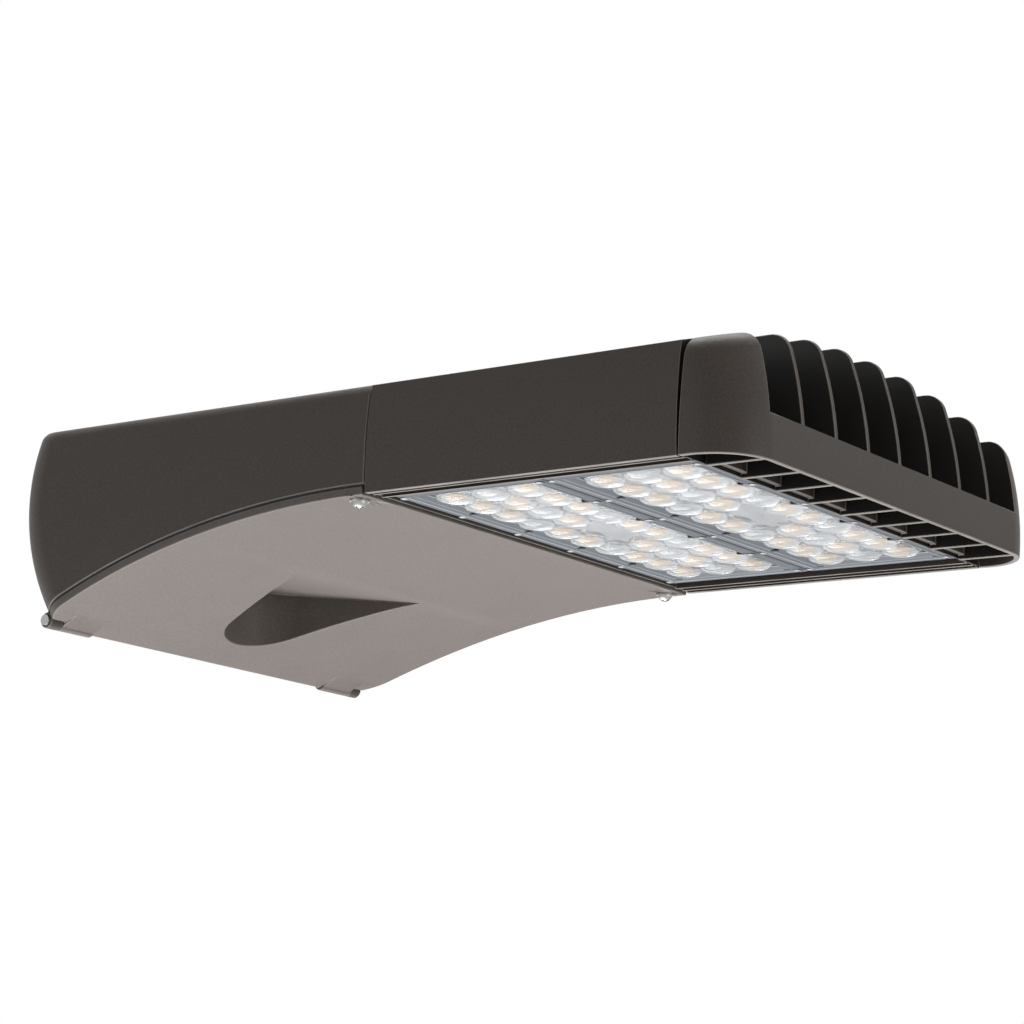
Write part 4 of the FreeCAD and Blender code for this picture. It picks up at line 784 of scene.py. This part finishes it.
# ------------------------------------------------------------------ lamps, backdrop and camera
# The object is seen against white, and lit by a dim room and four softboxes.
ROOM_LIGHT, BACKDROP_LIGHT, FLOOR_LIGHT = 0.13, 1.0, 0.72
FLOOR_HALF, FLOOR_Z = 6.0, -1.9
PICTURE_SIDE, CAMERA_SHIFT = 1024, -50      # in pixels
CAMERA_LENS, CAMERA_SENSOR, CAMERA_REACH = 105.205, 36.0, 50
CAMERA_AT = (1.38712, -1.42411, -0.36710)
CAMERA_TURN = (102.1089, -2.6630, 36.4901)  # in degrees


def seen_rays(tree):
    """1 for rays that show a thing itself: straight from the camera, in gloss or through glass."""
    path = put(tree, "ShaderNodeLightPath")
    first = number(tree, "MAXIMUM", path.outputs["Is Camera Ray"], path.outputs["Is Glossy Ray"])
    return number(tree, "MAXIMUM", first, path.outputs["Is Transmission Ray"])


world = bpy.data.worlds.new("Studio")
bpy.context.scene.world = world
world.use_nodes = True
studio = world.node_tree
studio.nodes.clear()
room = put(studio, "ShaderNodeBackground", {"Color": (1, 1, 1, 1), "Strength": ROOM_LIGHT})
backdrop = put(studio, "ShaderNodeBackground", {"Color": (1, 1, 1, 1), "Strength": BACKDROP_LIGHT})
blend = put(studio, "ShaderNodeMixShader",
            {0: seen_rays(studio), 1: room.outputs[0], 2: backdrop.outputs[0]})
put(studio, "ShaderNodeOutputWorld", {"Surface": blend.outputs[0]})

floor_mesh = bpy.data.meshes.new("Floor")
floor_corners = [(x * FLOOR_HALF, y * FLOOR_HALF, FLOOR_Z) for x, y in ((-1, -1), (1, -1), (1, 1), (-1, 1))]
floor_mesh.from_pydata(floor_corners, [], [(0, 1, 2, 3)])
floor = bpy.data.objects.new("Floor", floor_mesh)
bpy.context.scene.collection.objects.link(floor)
floor_paint, floor_tree, floor_shader = new_material("Pale floor")
floor_shader.inputs["Base Color"].default_value = (0.85, 0.85, 0.85, 1)
floor_shader.inputs["Roughness"].default_value = 0.9
# The floor shines by itself where it is seen, so that it is nearly as pale as the backdrop.
floor_lift = number(floor_tree, "MULTIPLY", seen_rays(floor_tree), FLOOR_LIGHT)
floor_tree.links.new(floor_lift, floor_shader.inputs["Emission Strength"])
floor_shader.inputs["Emission Color"].default_value = (1, 1, 1, 1)
dress(floor, floor_paint)
floor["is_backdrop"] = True


def softbox(name, at, towards, size, power):
    """Rectangular area lamp, with its place, the point it faces and its size in metres, in watts."""
    lamp = bpy.data.lights.new(name, "AREA")
    lamp.shape = "RECTANGLE"
    lamp.size, lamp.size_y = size
    lamp.energy = power
    lamp_object = bpy.data.objects.new(name, lamp)
    bpy.context.scene.collection.objects.link(lamp_object)
    lamp_object.location = at
    lamp_object.rotation_euler = (Vector(towards) - Vector(at)).to_track_quat("-Z", "Y").to_euler()
    lamp_object.visible_camera = False


softbox("Low softbox", (-0.35, 0.2, -1.6), (0.25, 0, 0), (1.6, 1.6), 43)
softbox("Front softbox", (2.6, 0.2, -0.2), (0.3, 0, 0), (1.2, 1.2), 18)
softbox("Side softbox", (-0.4, -2.4, 0.3), (0.2, 0, 0), (1.4, 1.0), 8)
softbox("Top softbox", (0.0, 0.5, 2.2), (0.3, 0, 0), (1.6, 1.6), 48)

camera_data = bpy.data.cameras.new("Photo camera")
camera = bpy.data.objects.new("Photo camera", camera_data)
bpy.context.scene.collection.objects.link(camera)
camera_data.sensor_width = CAMERA_SENSOR
camera_data.lens = CAMERA_LENS
camera_data.shift_x = CAMERA_SHIFT / PICTURE_SIDE
camera_data.clip_end = CAMERA_REACH
camera.location = CAMERA_AT
camera.rotation_euler = tuple(math.radians(turn) for turn in CAMERA_TURN)
bpy.context.scene.camera = camera
bpy.context.scene.view_settings.view_transform = "Standard"

low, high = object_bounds()
